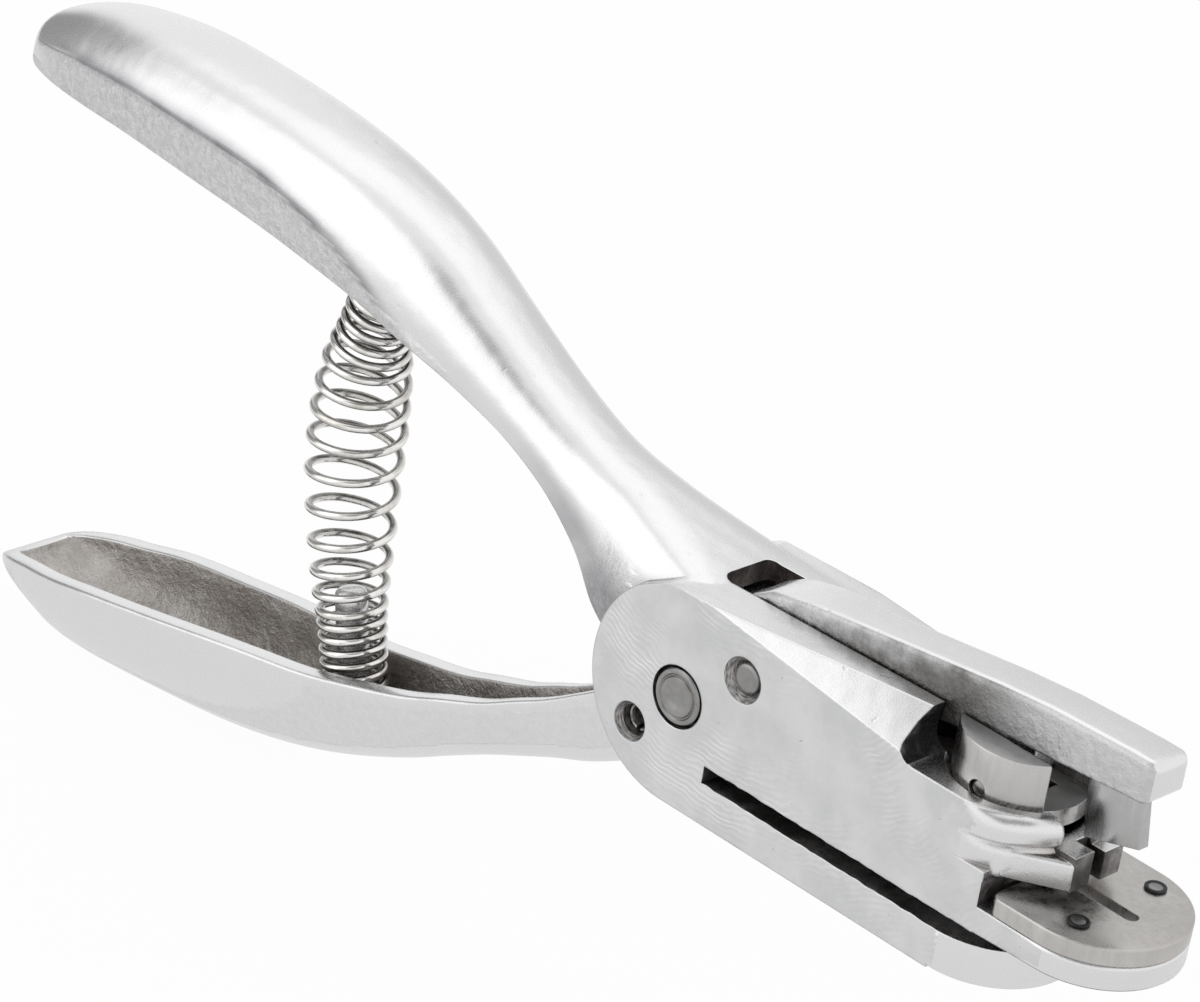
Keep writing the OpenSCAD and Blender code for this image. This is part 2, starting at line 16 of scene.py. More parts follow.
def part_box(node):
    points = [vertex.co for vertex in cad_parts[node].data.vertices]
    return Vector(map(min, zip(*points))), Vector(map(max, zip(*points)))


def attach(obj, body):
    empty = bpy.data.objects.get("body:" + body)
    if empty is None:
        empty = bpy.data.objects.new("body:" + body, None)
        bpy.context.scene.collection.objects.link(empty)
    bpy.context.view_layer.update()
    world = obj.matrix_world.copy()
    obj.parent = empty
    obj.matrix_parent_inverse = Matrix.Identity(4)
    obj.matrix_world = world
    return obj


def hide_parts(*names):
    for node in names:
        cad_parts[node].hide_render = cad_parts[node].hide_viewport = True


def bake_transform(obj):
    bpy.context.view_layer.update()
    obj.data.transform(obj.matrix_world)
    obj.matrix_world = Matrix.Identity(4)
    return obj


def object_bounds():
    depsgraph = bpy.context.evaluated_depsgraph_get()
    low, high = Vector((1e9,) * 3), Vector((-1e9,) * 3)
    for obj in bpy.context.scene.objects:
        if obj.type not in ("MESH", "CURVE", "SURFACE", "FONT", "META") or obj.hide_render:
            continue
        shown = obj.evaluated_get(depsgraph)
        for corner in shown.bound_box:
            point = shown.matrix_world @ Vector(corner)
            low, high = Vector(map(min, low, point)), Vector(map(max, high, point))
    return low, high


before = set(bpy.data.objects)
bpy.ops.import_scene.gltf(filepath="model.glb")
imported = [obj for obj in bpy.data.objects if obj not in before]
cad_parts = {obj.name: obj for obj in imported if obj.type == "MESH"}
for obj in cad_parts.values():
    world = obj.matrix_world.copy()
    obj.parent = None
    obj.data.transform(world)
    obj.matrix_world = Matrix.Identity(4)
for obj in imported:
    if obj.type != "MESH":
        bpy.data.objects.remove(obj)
cad_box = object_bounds()
print("nodes:", sorted(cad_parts))

# %% [markdown]
# ## Drawing frame
#
# All drawing is done in millimetres with the pivot at the origin, because the tool turns about
# it and the plan of the head is easy to read there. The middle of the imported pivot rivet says
# where that origin lies in the shared frame, so one matrix takes a finished mesh home.

# %% The way home
rivet_low, rivet_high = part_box("pivot_rivet")
PIVOT = (rivet_low + rivet_high) / 2
HOME = Matrix.Translation(PIVOT) @ Matrix.Scale(0.001, 4)
BACK = HOME.inverted()
print("pivot in the shared frame:", tuple(round(c, 5) for c in PIVOT))


def lerp(a, b, t):
    return a + (b - a) * t


def smooth(t):
    t = min(1.0, max(0.0, t))
    return t * t * (3 - 2 * t)


def lookup(x, table):
    """Straight-line value of a table of (place, value) rows."""
    if x <= table[0][0]:
        return table[0][1]
    for (x0, y0), (x1, y1) in zip(table, table[1:]):
        if x <= x1:
            return lerp(y0, y1, (x - x0) / (x1 - x0))
    return table[-1][1]


# %% [markdown]
# ## Mesh helpers
#
# A bmesh is Blender's editable mesh. Three shapes are used over and over: a flat outline pushed
# across the tool, a round bar, and a skin drawn over a row of cross-sections. The skin starts
# from one circle whose points are moved to the first section. Its edge is then extruded again
# and again, and each new ring of points is moved to the next section.

# %% Helpers for shapes
def verts_of(made):
    return [g for g in made["geom"] if isinstance(g, bmesh.types.BMVert)]


def skin(bm, sections):
    """Skin over closed sections with equally many points, closed at both ends."""
    mark = bm.verts.layers.int.get("place") or bm.verts.layers.int.new("place")
    ring = bmesh.ops.create_circle(bm, cap_ends=True, radius=1, segments=len(sections[0]))
    ring = ring["verts"]
    for i, (v, p) in enumerate(zip(ring, sections[0])):
        v[mark] = i
        v.co = p
    edges = list(dict.fromkeys(e for v in ring for e in v.link_edges))
    for points in sections[1:]:
        made = bmesh.ops.extrude_edge_only(bm, edges=edges)
        fresh = sorted(verts_of(made), key=lambda v: v[mark])
        known = set(fresh)
        for v, p in zip(fresh, points):
            v.co = p
        edges = [g for g in made["geom"] if isinstance(g, bmesh.types.BMEdge)
                 and g.verts[0] in known and g.verts[1] in known]
    bmesh.ops.contextual_create(bm, geom=edges)


def push(bm, outline, by):
    """Closed outline, pushed along a vector."""
    face = bm.faces.new([bm.verts.new(p) for p in outline])
    made = bmesh.ops.extrude_face_region(bm, geom=[face])
    bmesh.ops.translate(bm, vec=by, verts=verts_of(made))


def across(bm, profile, y0, y1):
    """Profile of (x, z) points pushed across the tool from y0 to y1."""
    push(bm, [(x, y0, z) for x, z in profile], (0, y1 - y0, 0))


def upright(bm, plan, z0, z1):
    """Plan of (x, y) points pushed up from z0 to z1."""
    push(bm, [(x, y, z0) for x, y in plan], (0, 0, z1 - z0))


def bar(bm, centre, r0, r1, length, axis="Y", segments=96):
    """Round bar, plain or tapered, about its centre. r0 is at the lower end of the axis."""
    turn = {"Z": Matrix.Identity(4), "Y": Matrix.Rotation(-pi / 2, 4, "X"),
            "X": Matrix.Rotation(pi / 2, 4, "Y")}[axis]
    bmesh.ops.create_cone(bm, cap_ends=True, segments=segments, radius1=r0, radius2=r1,
                          depth=length, matrix=Matrix.Translation(centre) @ turn)


def box(bm, low, high):
    middle = [(a + b) / 2 for a, b in zip(low, high)]
    size = [b - a for a, b in zip(low, high)]
    bmesh.ops.create_cube(bm, size=1, matrix=Matrix.Translation(middle)
                          @ Matrix.Diagonal((*size, 1)))


def soften(bm, pick, width, segments=3):
    """Rounds the edges that the test picks."""
    chosen = [e for e in bm.edges if pick(e)]
    bmesh.ops.bevel(bm, geom=chosen, offset=width, affect="EDGES", segments=segments,
                    profile=0.5, material=-1, clamp_overlap=True)
    return len(chosen)


# %% [markdown]
# A machined or cast body is a few such shapes joined, less a few others. Blender's Boolean
# modifier does this on objects, so each bmesh becomes a scratch object for a moment, and the
# last modifier's result is kept as the mesh.

# %% Helpers for joining and finishing
def stand(bm, name):
    """Makes an object of a bmesh and puts it in the scene."""
    mesh = bpy.data.meshes.new(name)
    bm.to_mesh(mesh)
    bm.free()
    made = bpy.data.objects.new(name, mesh)
    bpy.context.scene.collection.objects.link(made)
    return made


def scratch(bm):
    bmesh.ops.recalc_face_normals(bm, faces=bm.faces)
    return stand(bm, "scratch")


def shape(*calls):
    """One scratch object from helper calls, each a tuple of the helper and its values."""
    bm = bmesh.new()
    for helper, *values in calls:
        helper(bm, *values)
    return scratch(bm)


def combine(base, steps):
    """Joins or cuts the base with each (operation, tool) and returns a bmesh of the result."""
    for how, tool in steps:
        change = base.modifiers.new(how, "BOOLEAN")
        change.operation = how
        change.solver = "MANIFOLD"
        change.object = tool
    seen = base.evaluated_get(bpy.context.evaluated_depsgraph_get())
    bm = bmesh.new()
    bm.from_mesh(seen.to_mesh())
    for old in [base] + [tool for how, tool in steps]:
        bpy.data.objects.remove(old)
    bmesh.ops.dissolve_degenerate(bm, edges=bm.edges, dist=0.0005)
    return bm


def finish_piece(bm, name, body, nodes, materials, choose=None, sharp=32):
    """Turns a bmesh into a piece of the object, at its place, with its materials."""
    bmesh.ops.recalc_face_normals(bm, faces=bm.faces)
    limit = radians(sharp)
    for e in bm.edges:
        e.smooth = len(e.link_faces) == 2 and e.calc_face_angle() < limit
    for f in bm.faces:
        f.smooth = True
        if choose:
            f.material_index = choose(f.calc_center_median(), f.normal)
    bmesh.ops.transform(bm, matrix=HOME, verts=bm.verts)
    piece = stand(bm, name)
    for m in materials:
        piece.data.materials.append(m)
    if body:
        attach(piece, body)
    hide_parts(*nodes)
    print(name, len(piece.data.polygons), "faces")
    return piece


# %% [markdown]
# ## Finishes
#
# The tool has few materials, but each shows in several states: the alloy is tumbled bright on
# the grips, left rough where no wheel reached, milled flat on the sides of the head and sawn in
# the slot. A node tree mixes noise at the right scale into colour, roughness and bump. Object
# coordinates are in metres, so a grain of 0.3 mm needs a noise scale of about 3000.

# %% Helpers for node trees
def put(tree, target, value):
    """Links a socket to the target, or sets the target to a value."""
    if isinstance(value, bpy.types.NodeSocket):
        tree.links.new(value, target)
    else:
        target.default_value = value


def add(tree, kind, **values):
    """Adds a node and fills its named inputs. An underscore stands for a space in a name."""
    made = tree.nodes.new("ShaderNode" + kind)
    for key, value in values.items():
        put(tree, made.inputs[key.replace("_", " ")], value)
    return made


def add_math(tree, how, a, b=0.0):
    made = add(tree, "Math")
    made.operation = how
    put(tree, made.inputs[0], a)
    put(tree, made.inputs[1], b)
    return made.outputs[0]


def add_ramp(tree, value, low, high, out0=0.0, out1=1.0):
    """Maps low..high to out0..out1 with a smooth step."""
    made = add(tree, "MapRange")
    made.interpolation_type = "SMOOTHSTEP"
    for key, v in zip(("Value", "From Min", "From Max", "To Min", "To Max"),
                      (value, low, high, out0, out1)):
        put(tree, made.inputs[key], v)
    return made.outputs["Result"]


class Tree:
    """Short way to write the node tree of a finish."""

    def __init__(self, name, colour, roughness):
        self.material = bpy.data.materials.new(name)
        self.material.use_nodes = True
        self.tree = self.material.node_tree
        self.shader = self.tree.nodes["Principled BSDF"]
        self.shader.inputs["Base Color"].default_value = (*colour, 1)
        self.shader.inputs["Roughness"].default_value = roughness
        self.shader.inputs["Metallic"].default_value = 1.0
        self.place = add(self.tree, "TexCoord").outputs["Object"]

    def noise(self, scale, detail=4.0, stretch=None, rough=0.55):
        where = self.mapped(stretch) if stretch else self.place
        return add(self.tree, "TexNoise", Scale=scale, Detail=detail, Roughness=rough,
                   Vector=where).outputs["Fac"]

    def mapped(self, scale=(1, 1, 1), move=(0, 0, 0)):
        return add(self.tree, "Mapping", Scale=scale, Location=move,
                   Vector=self.place).outputs["Vector"]

    def ramp(self, value, low, high, out0=0.0, out1=1.0):
        return add_ramp(self.tree, value, low, high, out0, out1)

    def math(self, how, a, b=0.0):
        return add_math(self.tree, how, a, b)

    def mix(self, share, a, b):
        made = add(self.tree, "Mix")
        made.data_type = "RGBA"
        put(self.tree, made.inputs["Factor"], share)
        for key, value in (("A", a), ("B", b)):
            plain = not isinstance(value, bpy.types.NodeSocket)
            put(self.tree, made.inputs[key], (*value, 1) if plain else value)
        return made.outputs["Result"]

    def axis(self, key, where=None):
        return add(self.tree, "SeparateXYZ", Vector=where or self.place).outputs[key]

    def attribute(self, name):
        made = add(self.tree, "Attribute")
        made.attribute_name = name
        return made.outputs["Fac"]

    def bump(self, layers, edge=0.0):
        """Stacks bump layers of (height, depth in mm), on edges rounded by edge mm."""
        normal = None
        if edge:
            made = add(self.tree, "Bevel", Radius=edge * 0.001)
            made.samples = 6
            normal = made.outputs["Normal"]
        for height, depth in layers:
            made = add(self.tree, "Bump", Distance=depth * 0.001, Height=height)
            if normal:
                put(self.tree, made.inputs["Normal"], normal)
            normal = made.outputs["Normal"]
        put(self.tree, self.shader.inputs["Normal"], normal)

    def painted_shade(self, reach, share, dark):
        """Painted shade: a share that falls to nothing where the surface is shut in within reach,
        in mm.
        """
        made = add(self.tree, "AmbientOcclusion", Distance=reach * 0.001)
        made.samples = 6
        made.only_local = True
        return self.ramp(made.outputs["AO"], dark, share)

    def finish(self, colour, roughness):
        put(self.tree, self.shader.inputs["Base Color"], colour)
        put(self.tree, self.shader.inputs["Roughness"], roughness)
        return self.material


# %% Alloy finishes
BRIGHT, DULL = (0.78, 0.78, 0.785), (0.60, 0.60, 0.605)
# Brown of the painted shade in the recesses of the cast skin.
RECESS_SHADE = (0.26, 0.225, 0.20)


def cast_skin():
    """Tumbled cast skin. The attribute 'raw' tells where it was left rough, 'fold' where painted
    shade darkens it.
    """
    t = Tree("cast alloy tumbled", BRIGHT, 0.28)
    raw = t.attribute("raw")
    cloud = t.noise(70, 3)
    grain = t.noise(1300, 5, rough=0.7)
    streak = t.noise(420, 4, stretch=(0.35, 1, 1), rough=0.65)
    pits = t.ramp(t.noise(520, 2), 0.70, 0.80)
    fine = t.noise(6000, 3)
    clean = t.mix(cloud, (0.75, 0.75, 0.757), (0.80, 0.80, 0.805))
    clean = t.mix(t.ramp(streak, 0.60, 0.80, 0, 0.25), clean, DULL)
    worn = t.mix(t.ramp(grain, 0.3, 0.7), (0.60, 0.60, 0.607), (0.73, 0.73, 0.735))
    colour = t.mix(raw, clean, worn)
    pitted = t.math("MULTIPLY", pits, t.ramp(raw, 0, 1, 0.15, 0.5))
    colour = t.mix(pitted, colour, (0.40, 0.39, 0.39))
    # Painted shade along the crease of the grip, from the attribute 'fold', which also darkens the
    # neck low down.
    fold = t.math("MULTIPLY", t.attribute("fold"), t.ramp(t.noise(250, 3), 0.2, 0.7, 0.55, 0.95))
    colour = t.mix(fold, colour, (0.20, 0.20, 0.215))
    # Painted shade: brown where the skin is shut in.
    colour = t.mix(t.painted_shade(1.8, 0.92, 0.2), RECESS_SHADE, colour)
    rough = t.ramp(raw, 0, 1, 0.25, 0.42)
    rough = t.math("ADD", rough, t.ramp(fine, 0.3, 0.7, -0.03, 0.04))
    lumps = t.math("MULTIPLY", grain, t.ramp(raw, 0, 1, 0.03, 1.0))
    holes = t.math("MULTIPLY", pits, t.ramp(raw, 0, 1, -0.10, -0.7))
    t.bump([(t.noise(160, 2), 0.16), (lumps, 0.34), (holes, 0.26), (fine, 0.006)], edge=0.28)
    return t.finish(colour, rough)


def milled_side():
    """Flat side of the head: faint arcs of the cutter over a mottled grey."""
    t = Tree("milled alloy side", (0.72, 0.72, 0.725), 0.30)
    feed, wander = 0.00062, 0.0024
    far = t.mapped(move=(-PIVOT.x - 0.004, 0, -PIVOT.z - 0.030))
    x = t.axis("X", far)
    z = t.axis("Z", far)
    reach = t.math("SQRT", t.math("ADD", t.math("MULTIPLY", x, x), t.math("MULTIPLY", z, z)))
    wobble = t.math("MULTIPLY", t.noise(230, 3), wander)
    arcs = t.math("SINE", t.math("MULTIPLY", t.math("ADD", reach, wobble), 2 * pi / feed))
    here = t.ramp(t.noise(110, 2), 0.44, 0.66)
    arcs = t.math("MULTIPLY", arcs, here)
    cloud = t.noise(210, 4, rough=0.65)
    specks = t.ramp(t.noise(1700, 2), 0.71, 0.80)
    colour = t.mix(t.ramp(cloud, 0.3, 0.7), (0.66, 0.663, 0.67), (0.76, 0.757, 0.76))
    colour = t.mix(t.ramp(arcs, -1, 1, 0, 0.16), colour, (0.52, 0.52, 0.53))
    colour = t.mix(t.math("MULTIPLY", specks, 0.5), colour, (0.30, 0.29, 0.29))
    # Painted shade: brown where the side is shut in.
    colour = t.mix(t.painted_shade(1.2, 0.95, 0.35), (0.40, 0.33, 0.29), colour)
    rough = t.ramp(cloud, 0.3, 0.7, 0.27, 0.38)
    t.bump([(arcs, 0.02), (t.noise(500, 4), 0.03), (specks, -0.03)], edge=0.28)
    return t.finish(colour, rough)


def rough_cast_with_shade(name, light, dark, share=(0.35, 0.65), depth=0.35, scale=800, rough=0.5,
               reach=2.5):
    """Cast faces that no wheel reached: grainy, with dark painted shade where they are shut in."""
    t = Tree(name, light, rough)
    grain = t.noise(scale, 5, rough=0.72)
    blotch = t.noise(scale / 5, 4, rough=0.6)
    colour = t.mix(t.ramp(blotch, *share), dark, light)
    colour = t.mix(t.ramp(grain, 0.35, 0.7, 0.5, 0), colour, dark)
    # Painted shade where the face is shut in.
    colour = t.mix(t.painted_shade(reach, 0.85, 0.2), [c * 0.35 for c in dark], colour)
    t.bump([(grain, depth), (t.noise(scale * 3, 2), depth / 6)], edge=0.15)
    return t.finish(colour, t.ramp(grain, 0.3, 0.7, rough - 0.1, rough + 0.12))


def shaded_arm_side():
    """Side of the punch arm: painted shade, dark towards the slot and light along its top edge, and
    lighter at its front end.
    """
    t = Tree("arm side with painted shade", (0.62, 0.62, 0.625), 0.4)
    slope, above_pivot = 0.24, 0.0066
    x, z = t.axis("X"), t.axis("Z")
    slot_line = t.math("ADD", t.math("MULTIPLY", x, slope),
                       PIVOT.z - slope * PIVOT.x + above_pivot)
    height = t.math("SUBTRACT", z, slot_line)
    blotch = t.noise(330, 5, rough=0.65)
    height = t.math("ADD", height, t.math("MULTIPLY", t.math("SUBTRACT", blotch, 0.5), 0.006))
    # Painted shade of the slot: dark low on the side, light towards the top edge.
    colour = t.mix(t.ramp(height, 0.0, 0.0042), (0.15, 0.145, 0.14), (0.68, 0.68, 0.685))
    # Painted light: the front end, out of the head, is lighter.
    ahead = t.ramp(t.math("SUBTRACT", x, PIVOT.x), 0.027, 0.038)
    colour = t.mix(t.math("MULTIPLY", ahead, 0.85), colour, (0.74, 0.74, 0.745))
    grain = t.noise(1500, 4, rough=0.7)
    colour = t.mix(t.ramp(grain, 0.35, 0.7, 0.25, 0), colour, (0.30, 0.295, 0.29))
    # Painted shade where the arm is shut in.
    colour = t.mix(t.painted_shade(1.6, 0.9, 0.2), (0.08, 0.07, 0.065), colour)
    t.bump([(grain, 0.12), (blotch, 0.15)], edge=0.3)
    return t.finish(colour, t.ramp(grain, 0.3, 0.7, 0.3, 0.5))


def drilled():
    """Bores and countersinks, in dark turned tones that partly paint their shade."""
    t = Tree("drilled alloy", (0.50, 0.48, 0.47), 0.42)
    turned = t.noise(1400, 3, stretch=(1, 6, 1))
    # Turned marks, in tones dark enough to paint the shade of the bores.
    colour = t.mix(t.ramp(turned, 0.3, 0.7), (0.13, 0.12, 0.115), (0.60, 0.59, 0.58))
    # Painted shade, near black, deep in the bores.
    colour = t.mix(t.painted_shade(1.6, 0.95, 0.45), (0.035, 0.03, 0.028), colour)
    t.bump([(turned, 0.08)], edge=0.1)
    return t.finish(colour, t.ramp(turned, 0.3, 0.7, 0.3, 0.5))


CAST = cast_skin()
MILLED = milled_side()
SAWN = rough_cast_with_shade("sawn alloy", (0.46, 0.44, 0.435), (0.10, 0.095, 0.09), depth=0.3, scale=900)
DRILLED = drilled()
# The scoop under the arm: rough cast, with near-black tones that paint the arm's shade on it.
SCOOP = rough_cast_with_shade("rough scooped alloy", (0.46, 0.455, 0.46), (0.035, 0.034, 0.034),
                   (0.40, 0.80), 0.6, 1500, 0.34)
# Faces inside the head between the cheeks: cast grain in dark brown tones that paint the shade
# there.
SHADED_INSIDE = rough_cast_with_shade("shaded inside casting", (0.30, 0.27, 0.255), (0.05, 0.042, 0.038), depth=0.4)
CHANNEL = rough_cast_with_shade("channel skin", (0.60, 0.575, 0.555), (0.36, 0.335, 0.315), (0.3, 0.7), 0.3,
                     700, 0.40, 4.0)
ARM_SIDE = shaded_arm_side()


# %% Steel finishes
def steel(name, light, dark, rough, grain_scale=1600, stretch=(1, 1, 1), depth=0.01, edge=0.15,
          shade_colour=(0.12, 0.10, 0.09)):
    """Steel with a drawn or ground grain along one axis."""
    t = Tree(name, light, rough)
    grain = t.noise(grain_scale, 4, stretch=stretch, rough=0.65)
    cloud = t.noise(300, 3)
    colour = t.mix(t.math("MULTIPLY", grain, cloud), dark, light)
    # Painted shade where the steel is shut in.
    colour = t.mix(t.painted_shade(0.7, 0.9, 0.3), shade_colour, colour)
    t.bump([(grain, depth)], edge=edge)
    return t.finish(colour, t.ramp(grain, 0.3, 0.7, rough - 0.05, rough + 0.07))


RIVET_STEEL = steel("rivet steel", (0.56, 0.56, 0.555), (0.22, 0.215, 0.21), 0.28, 900,
                    (1, 1, 1), 0.03)
PUNCH_SIDE = steel("ground punch steel", (0.70, 0.69, 0.68), (0.45, 0.44, 0.43), 0.26,
                   2600, (1, 1, 0.06), 0.008)
PUNCH_TOP = steel("dull punch steel", (0.50, 0.50, 0.50), (0.26, 0.26, 0.26), 0.42, 1200,
                  (1, 1, 1), 0.02)
BLADE_STEEL = steel("ground blade steel", (0.70, 0.70, 0.69), (0.40, 0.40, 0.40), 0.24,
                    2400, (1, 1, 0.08), 0.008)
PLATE_STEEL = steel("die plate steel", (0.74, 0.735, 0.725), (0.46, 0.44, 0.42), 0.30, 1500,
                    (1, 1, 0.15), 0.02)
BLACK_STEEL = steel("blackened rivet steel", (0.10, 0.10, 0.105), (0.03, 0.03, 0.03), 0.4)
WORN_STEEL = steel("worn rivet crown", (0.42, 0.42, 0.42), (0.22, 0.22, 0.22), 0.36)


def nickel():
    """Bright nickel on the spring wire. The attribute 'raw' holds painted dark reflections along
    it.
    """
    t = Tree("nickel wire", (0.86, 0.83, 0.77), 0.10)
    stain = t.noise(500, 3)
    # Painted dark reflections along the wire.
    line = t.math("MULTIPLY", t.attribute("raw"), t.ramp(stain, 0.2, 0.7, 1.0, 0.6))
    colour = t.mix(t.ramp(stain, 0.45, 0.75), (0.86, 0.85, 0.83), (0.62, 0.59, 0.55))
    colour = t.mix(line, colour, (0.06, 0.055, 0.05))
    # Painted shade between the coils.
    colour = t.mix(t.painted_shade(0.9, 0.9, 0.4), (0.05, 0.045, 0.04), colour)
    t.bump([(t.noise(2600, 3), 0.004)])
    return t.finish(colour, t.ramp(stain, 0.3, 0.7, 0.07, 0.17))


NICKEL = nickel()

# %% [markdown]
# ## Handles
#
# Both grips are open boats: a crowned back, two thin walls and a hollow. One closed skin can
# make all of it, because each cross-section runs over the back and returns through the hollow.
# The hollow ends short of the tip. The stations follow the CAD tables, but for the two tips, and
# a smooth curve through them gives many more, so the highlights run without a break.

# %% Stations of the two handles: crown x and z, rim x and z, half width
upper = [
    (-103.3, 24.9, -103.3, 24.2, 0.9), (-102.8, 26.0, -102.9, 23.8, 2.4),
    (-101.5, 27.4, -101.6, 23.3, 4.1), (-99.0, 29.0, -99.2, 22.9, 5.8),
    (-93.0, 30.9, -93.0, 22.4, 7.1), (-84.0, 32.0, -83.5, 22.4, 8.0),
    (-73.8, 31.9, -72.9, 21.7, 8.2), (-63.2, 31.3, -62.0, 20.6, 7.9),
    (-52.8, 29.8, -52.2, 18.9, 7.3), (-43.6, 26.9, -44.3, 17.1, 6.6),
    (-35.3, 22.4, -36.4, 15.2, 5.9), (-27.8, 18.4, -29.3, 12.9, 5.4),
    (-20.8, 15.5, -23.1, 9.9, 5.3), (-13.6, 13.8, -17.7, 6.3, 5.8),
    (-6.1, 12.0, -13.2, 2.6, 7.0), (-1.0, 10.7, -8.0, 0.0, 7.7),
    (3.5, 10.1, -3.0, -2.0, 7.8)]
lower = [
    (-98.5, -33.9, -98.5, -33.2, 2.4), (-98.0, -34.4, -98.1, -32.8, 3.9),
    (-96.9, -34.9, -97.0, -32.2, 5.0), (-94.6, -35.7, -94.8, -31.4, 6.1),
    (-91.0, -36.9, -91.0, -30.4, 7.0), (-86.9, -37.8, -86.9, -29.6, 7.6),
    (-80.9, -37.7, -80.9, -28.2, 8.1), (-72.1, -37.0, -72.1, -26.6, 7.9),
    (-63.4, -36.1, -63.4, -25.0, 7.5), (-56.8, -35.0, -56.8, -24.0, 6.9),
    (-50.4, -33.3, -50.4, -23.0, 6.4), (-44.2, -31.0, -44.2, -21.5, 5.9),
    (-37.7, -28.0, -37.7, -19.7, 5.2), (-32.8, -25.3, -32.8, -17.8, 4.7),
    (-27.9, -22.7, -27.9, -15.9, 4.2), (-23.8, -20.8, -24.0, -13.9, 3.7),
    (-19.6, -18.9, -20.3, -12.0, 3.25), (-15.0, -17.0, -15.6, -9.0, 2.9),
    (-9.0, -13.6, -10.6, -5.6, 2.9), (-3.0, -9.4, -6.0, -2.4, 2.9)]


def curve_through(rows, steps):
    """More stations on a smooth curve through the given ones, with their running number."""
    made = []
    for j in range(len(rows) - 1):
        before, after = rows[max(j - 1, 0)], rows[min(j + 2, len(rows) - 1)]
        a, b = rows[j], rows[j + 1]
        for i in range(steps + (j == len(rows) - 2)):
            t = i / steps
            made.append((j + t, [0.5 * (2 * q + (r - p) * t + (2 * p - 5 * q + 4 * r - s) * t * t
                                        + (3 * q - p - 3 * r + s) * t ** 3)
                                 for p, q, r, s in zip(before, a, b, after)]))
    return made


# %% [markdown]
# The upper handle has a soft crease, half way up its side behind the spring and running out at
# the rim ahead of it. Above it the back was ground round, below it the casting kept its rough
# draft face. The lower handle has no crease.

# %% One cross-section of a handle
WALL, WEB = 1.7, 2.6
FULL = 0.72
BACK_POINTS = 72
HOLLOW_POINTS = 24
CREASE_STEP = 0.38
CREASE_PATH = [(-98, 0.5), (-66, 0.5), (-61.8, 0.46), (-57.5, 0.42), (-52.5, 0.34), (-48.8, 0.25),
               (-44, 0.12), (-40, 0.02)]
CREASE_ENDS, CREASE_EASE = (-99, -41), 8
RIM_TAPER = 0.045


def crease_strength(x):
    return (smooth((x - CREASE_ENDS[0]) / CREASE_EASE)
            * smooth((CREASE_ENDS[1] - x) / CREASE_EASE))


def signed(v, p):
    return abs(v) ** p * (1 if v >= 0 else -1)


def section(row, depth, crease=1.0, power=FULL, wall=WALL):
    """Points of one closed section. depth is the share of the hollow, from 0 to 1.

    The power says how full the back is: 1 is an ellipse, a smaller one is squarer.
    """
    crease_at = lookup(row[0], CREASE_PATH)
    rolled = CREASE_STEP * crease * crease_strength(row[0])
    crown, rim = Vector((row[0], 0, row[1])), Vector((row[2], 0, row[3]))
    wide = row[4]
    up = crown - rim
    height = up.length
    up = up / height
    corner = min(0.3, wide * 0.3, height * 0.2)
    inner = max(wide - wall, wide * 0.55)
    floor = max(height - WEB, height * 0.3) * depth
    points = []

    def point(y, h):
        points.append(rim + up * h + Vector((0, y, 0)))

    def round_edge(at, way, angles, share):
        """Rounded edge of the rim at y = at, leaning to the middle (-1) or away from it (1)."""
        side = -1 if at < 0 else 1
        for a in angles:
            point(at + side * way * corner * (1 - cos(radians(a))),
                  corner * (1 - sin(radians(a))) * share)

    low = asin((corner / height) ** (1 / power))
    for i in range(BACK_POINTS + 1):
        a = low + (pi - 2 * low) * i / BACK_POINTS
        h = sin(a) ** power
        y = signed(cos(a), power)
        squeeze_in = RIM_TAPER * crease * smooth(1 - h / crease_at)
        step = rolled * smooth((crease_at + 0.05 - h) / 0.09)
        y = max(abs(y) * (1 - squeeze_in) * wide - step, 0)
        point(y if cos(a) >= 0 else -y, h * height)
    edge = wide * (1 - RIM_TAPER * crease) - rolled
    round_edge(-edge, -1, (30, 60, 90), 1)
    round_edge(-inner, 1, (90, 60, 30), depth)
    for i in range(HOLLOW_POINTS + 1):
        a = pi * i / HOLLOW_POINTS
        point(-inner * signed(cos(a), FULL), max(floor * sin(a) ** FULL, corner * depth))
    round_edge(inner, 1, (30, 60, 90), depth)
    round_edge(edge, -1, (90, 60, 30), 1)
    return points


STEPS = 9
TIP_CAP = ((0.12, 0.30), (0.45, 0.26), (0.8, 0.12))


def handle_sections(rows, start, end, fade, power=lambda n: FULL, creased=1.0, wall=WALL):
    """Sections of a handle whose hollow runs between two running numbers.

    The first few close the tip with a small dome: share of the first section, and how far back.
    """
    made = []
    stations = curve_through(rows, STEPS)
    first = stations[0][1]
    middle = [(first[0] + first[2]) / 2, (first[1] + first[3]) / 2]
    for share, back in TIP_CAP:
        row = [lerp(middle[0], first[0], share) - back, lerp(middle[1], first[1], share),
               lerp(middle[0], first[2], share) - back, lerp(middle[1], first[3], share),
               first[4] * share]
        made.append(section(row, 0.0, 0.0))
    for n, row in stations:
        depth = smooth((n - start) / fade[0]) * smooth((end - n) / fade[1])
        crease = creased * smooth((n - 2) / 2) * smooth((10.5 - n) / 2.5)
        made.append(section(row, depth, crease, power(n), wall))
    return made


# %% [markdown]
# ## Frame casting
#
# The head is drawn as the foundry pattern would be: a round rear end, two cheeks, the boss round
# the hole punch with its nose, the strip below and the lip under the die plate. The machinist's
# cuts follow: the room for the lever, the long side slot, the card gap, bores and countersinks.

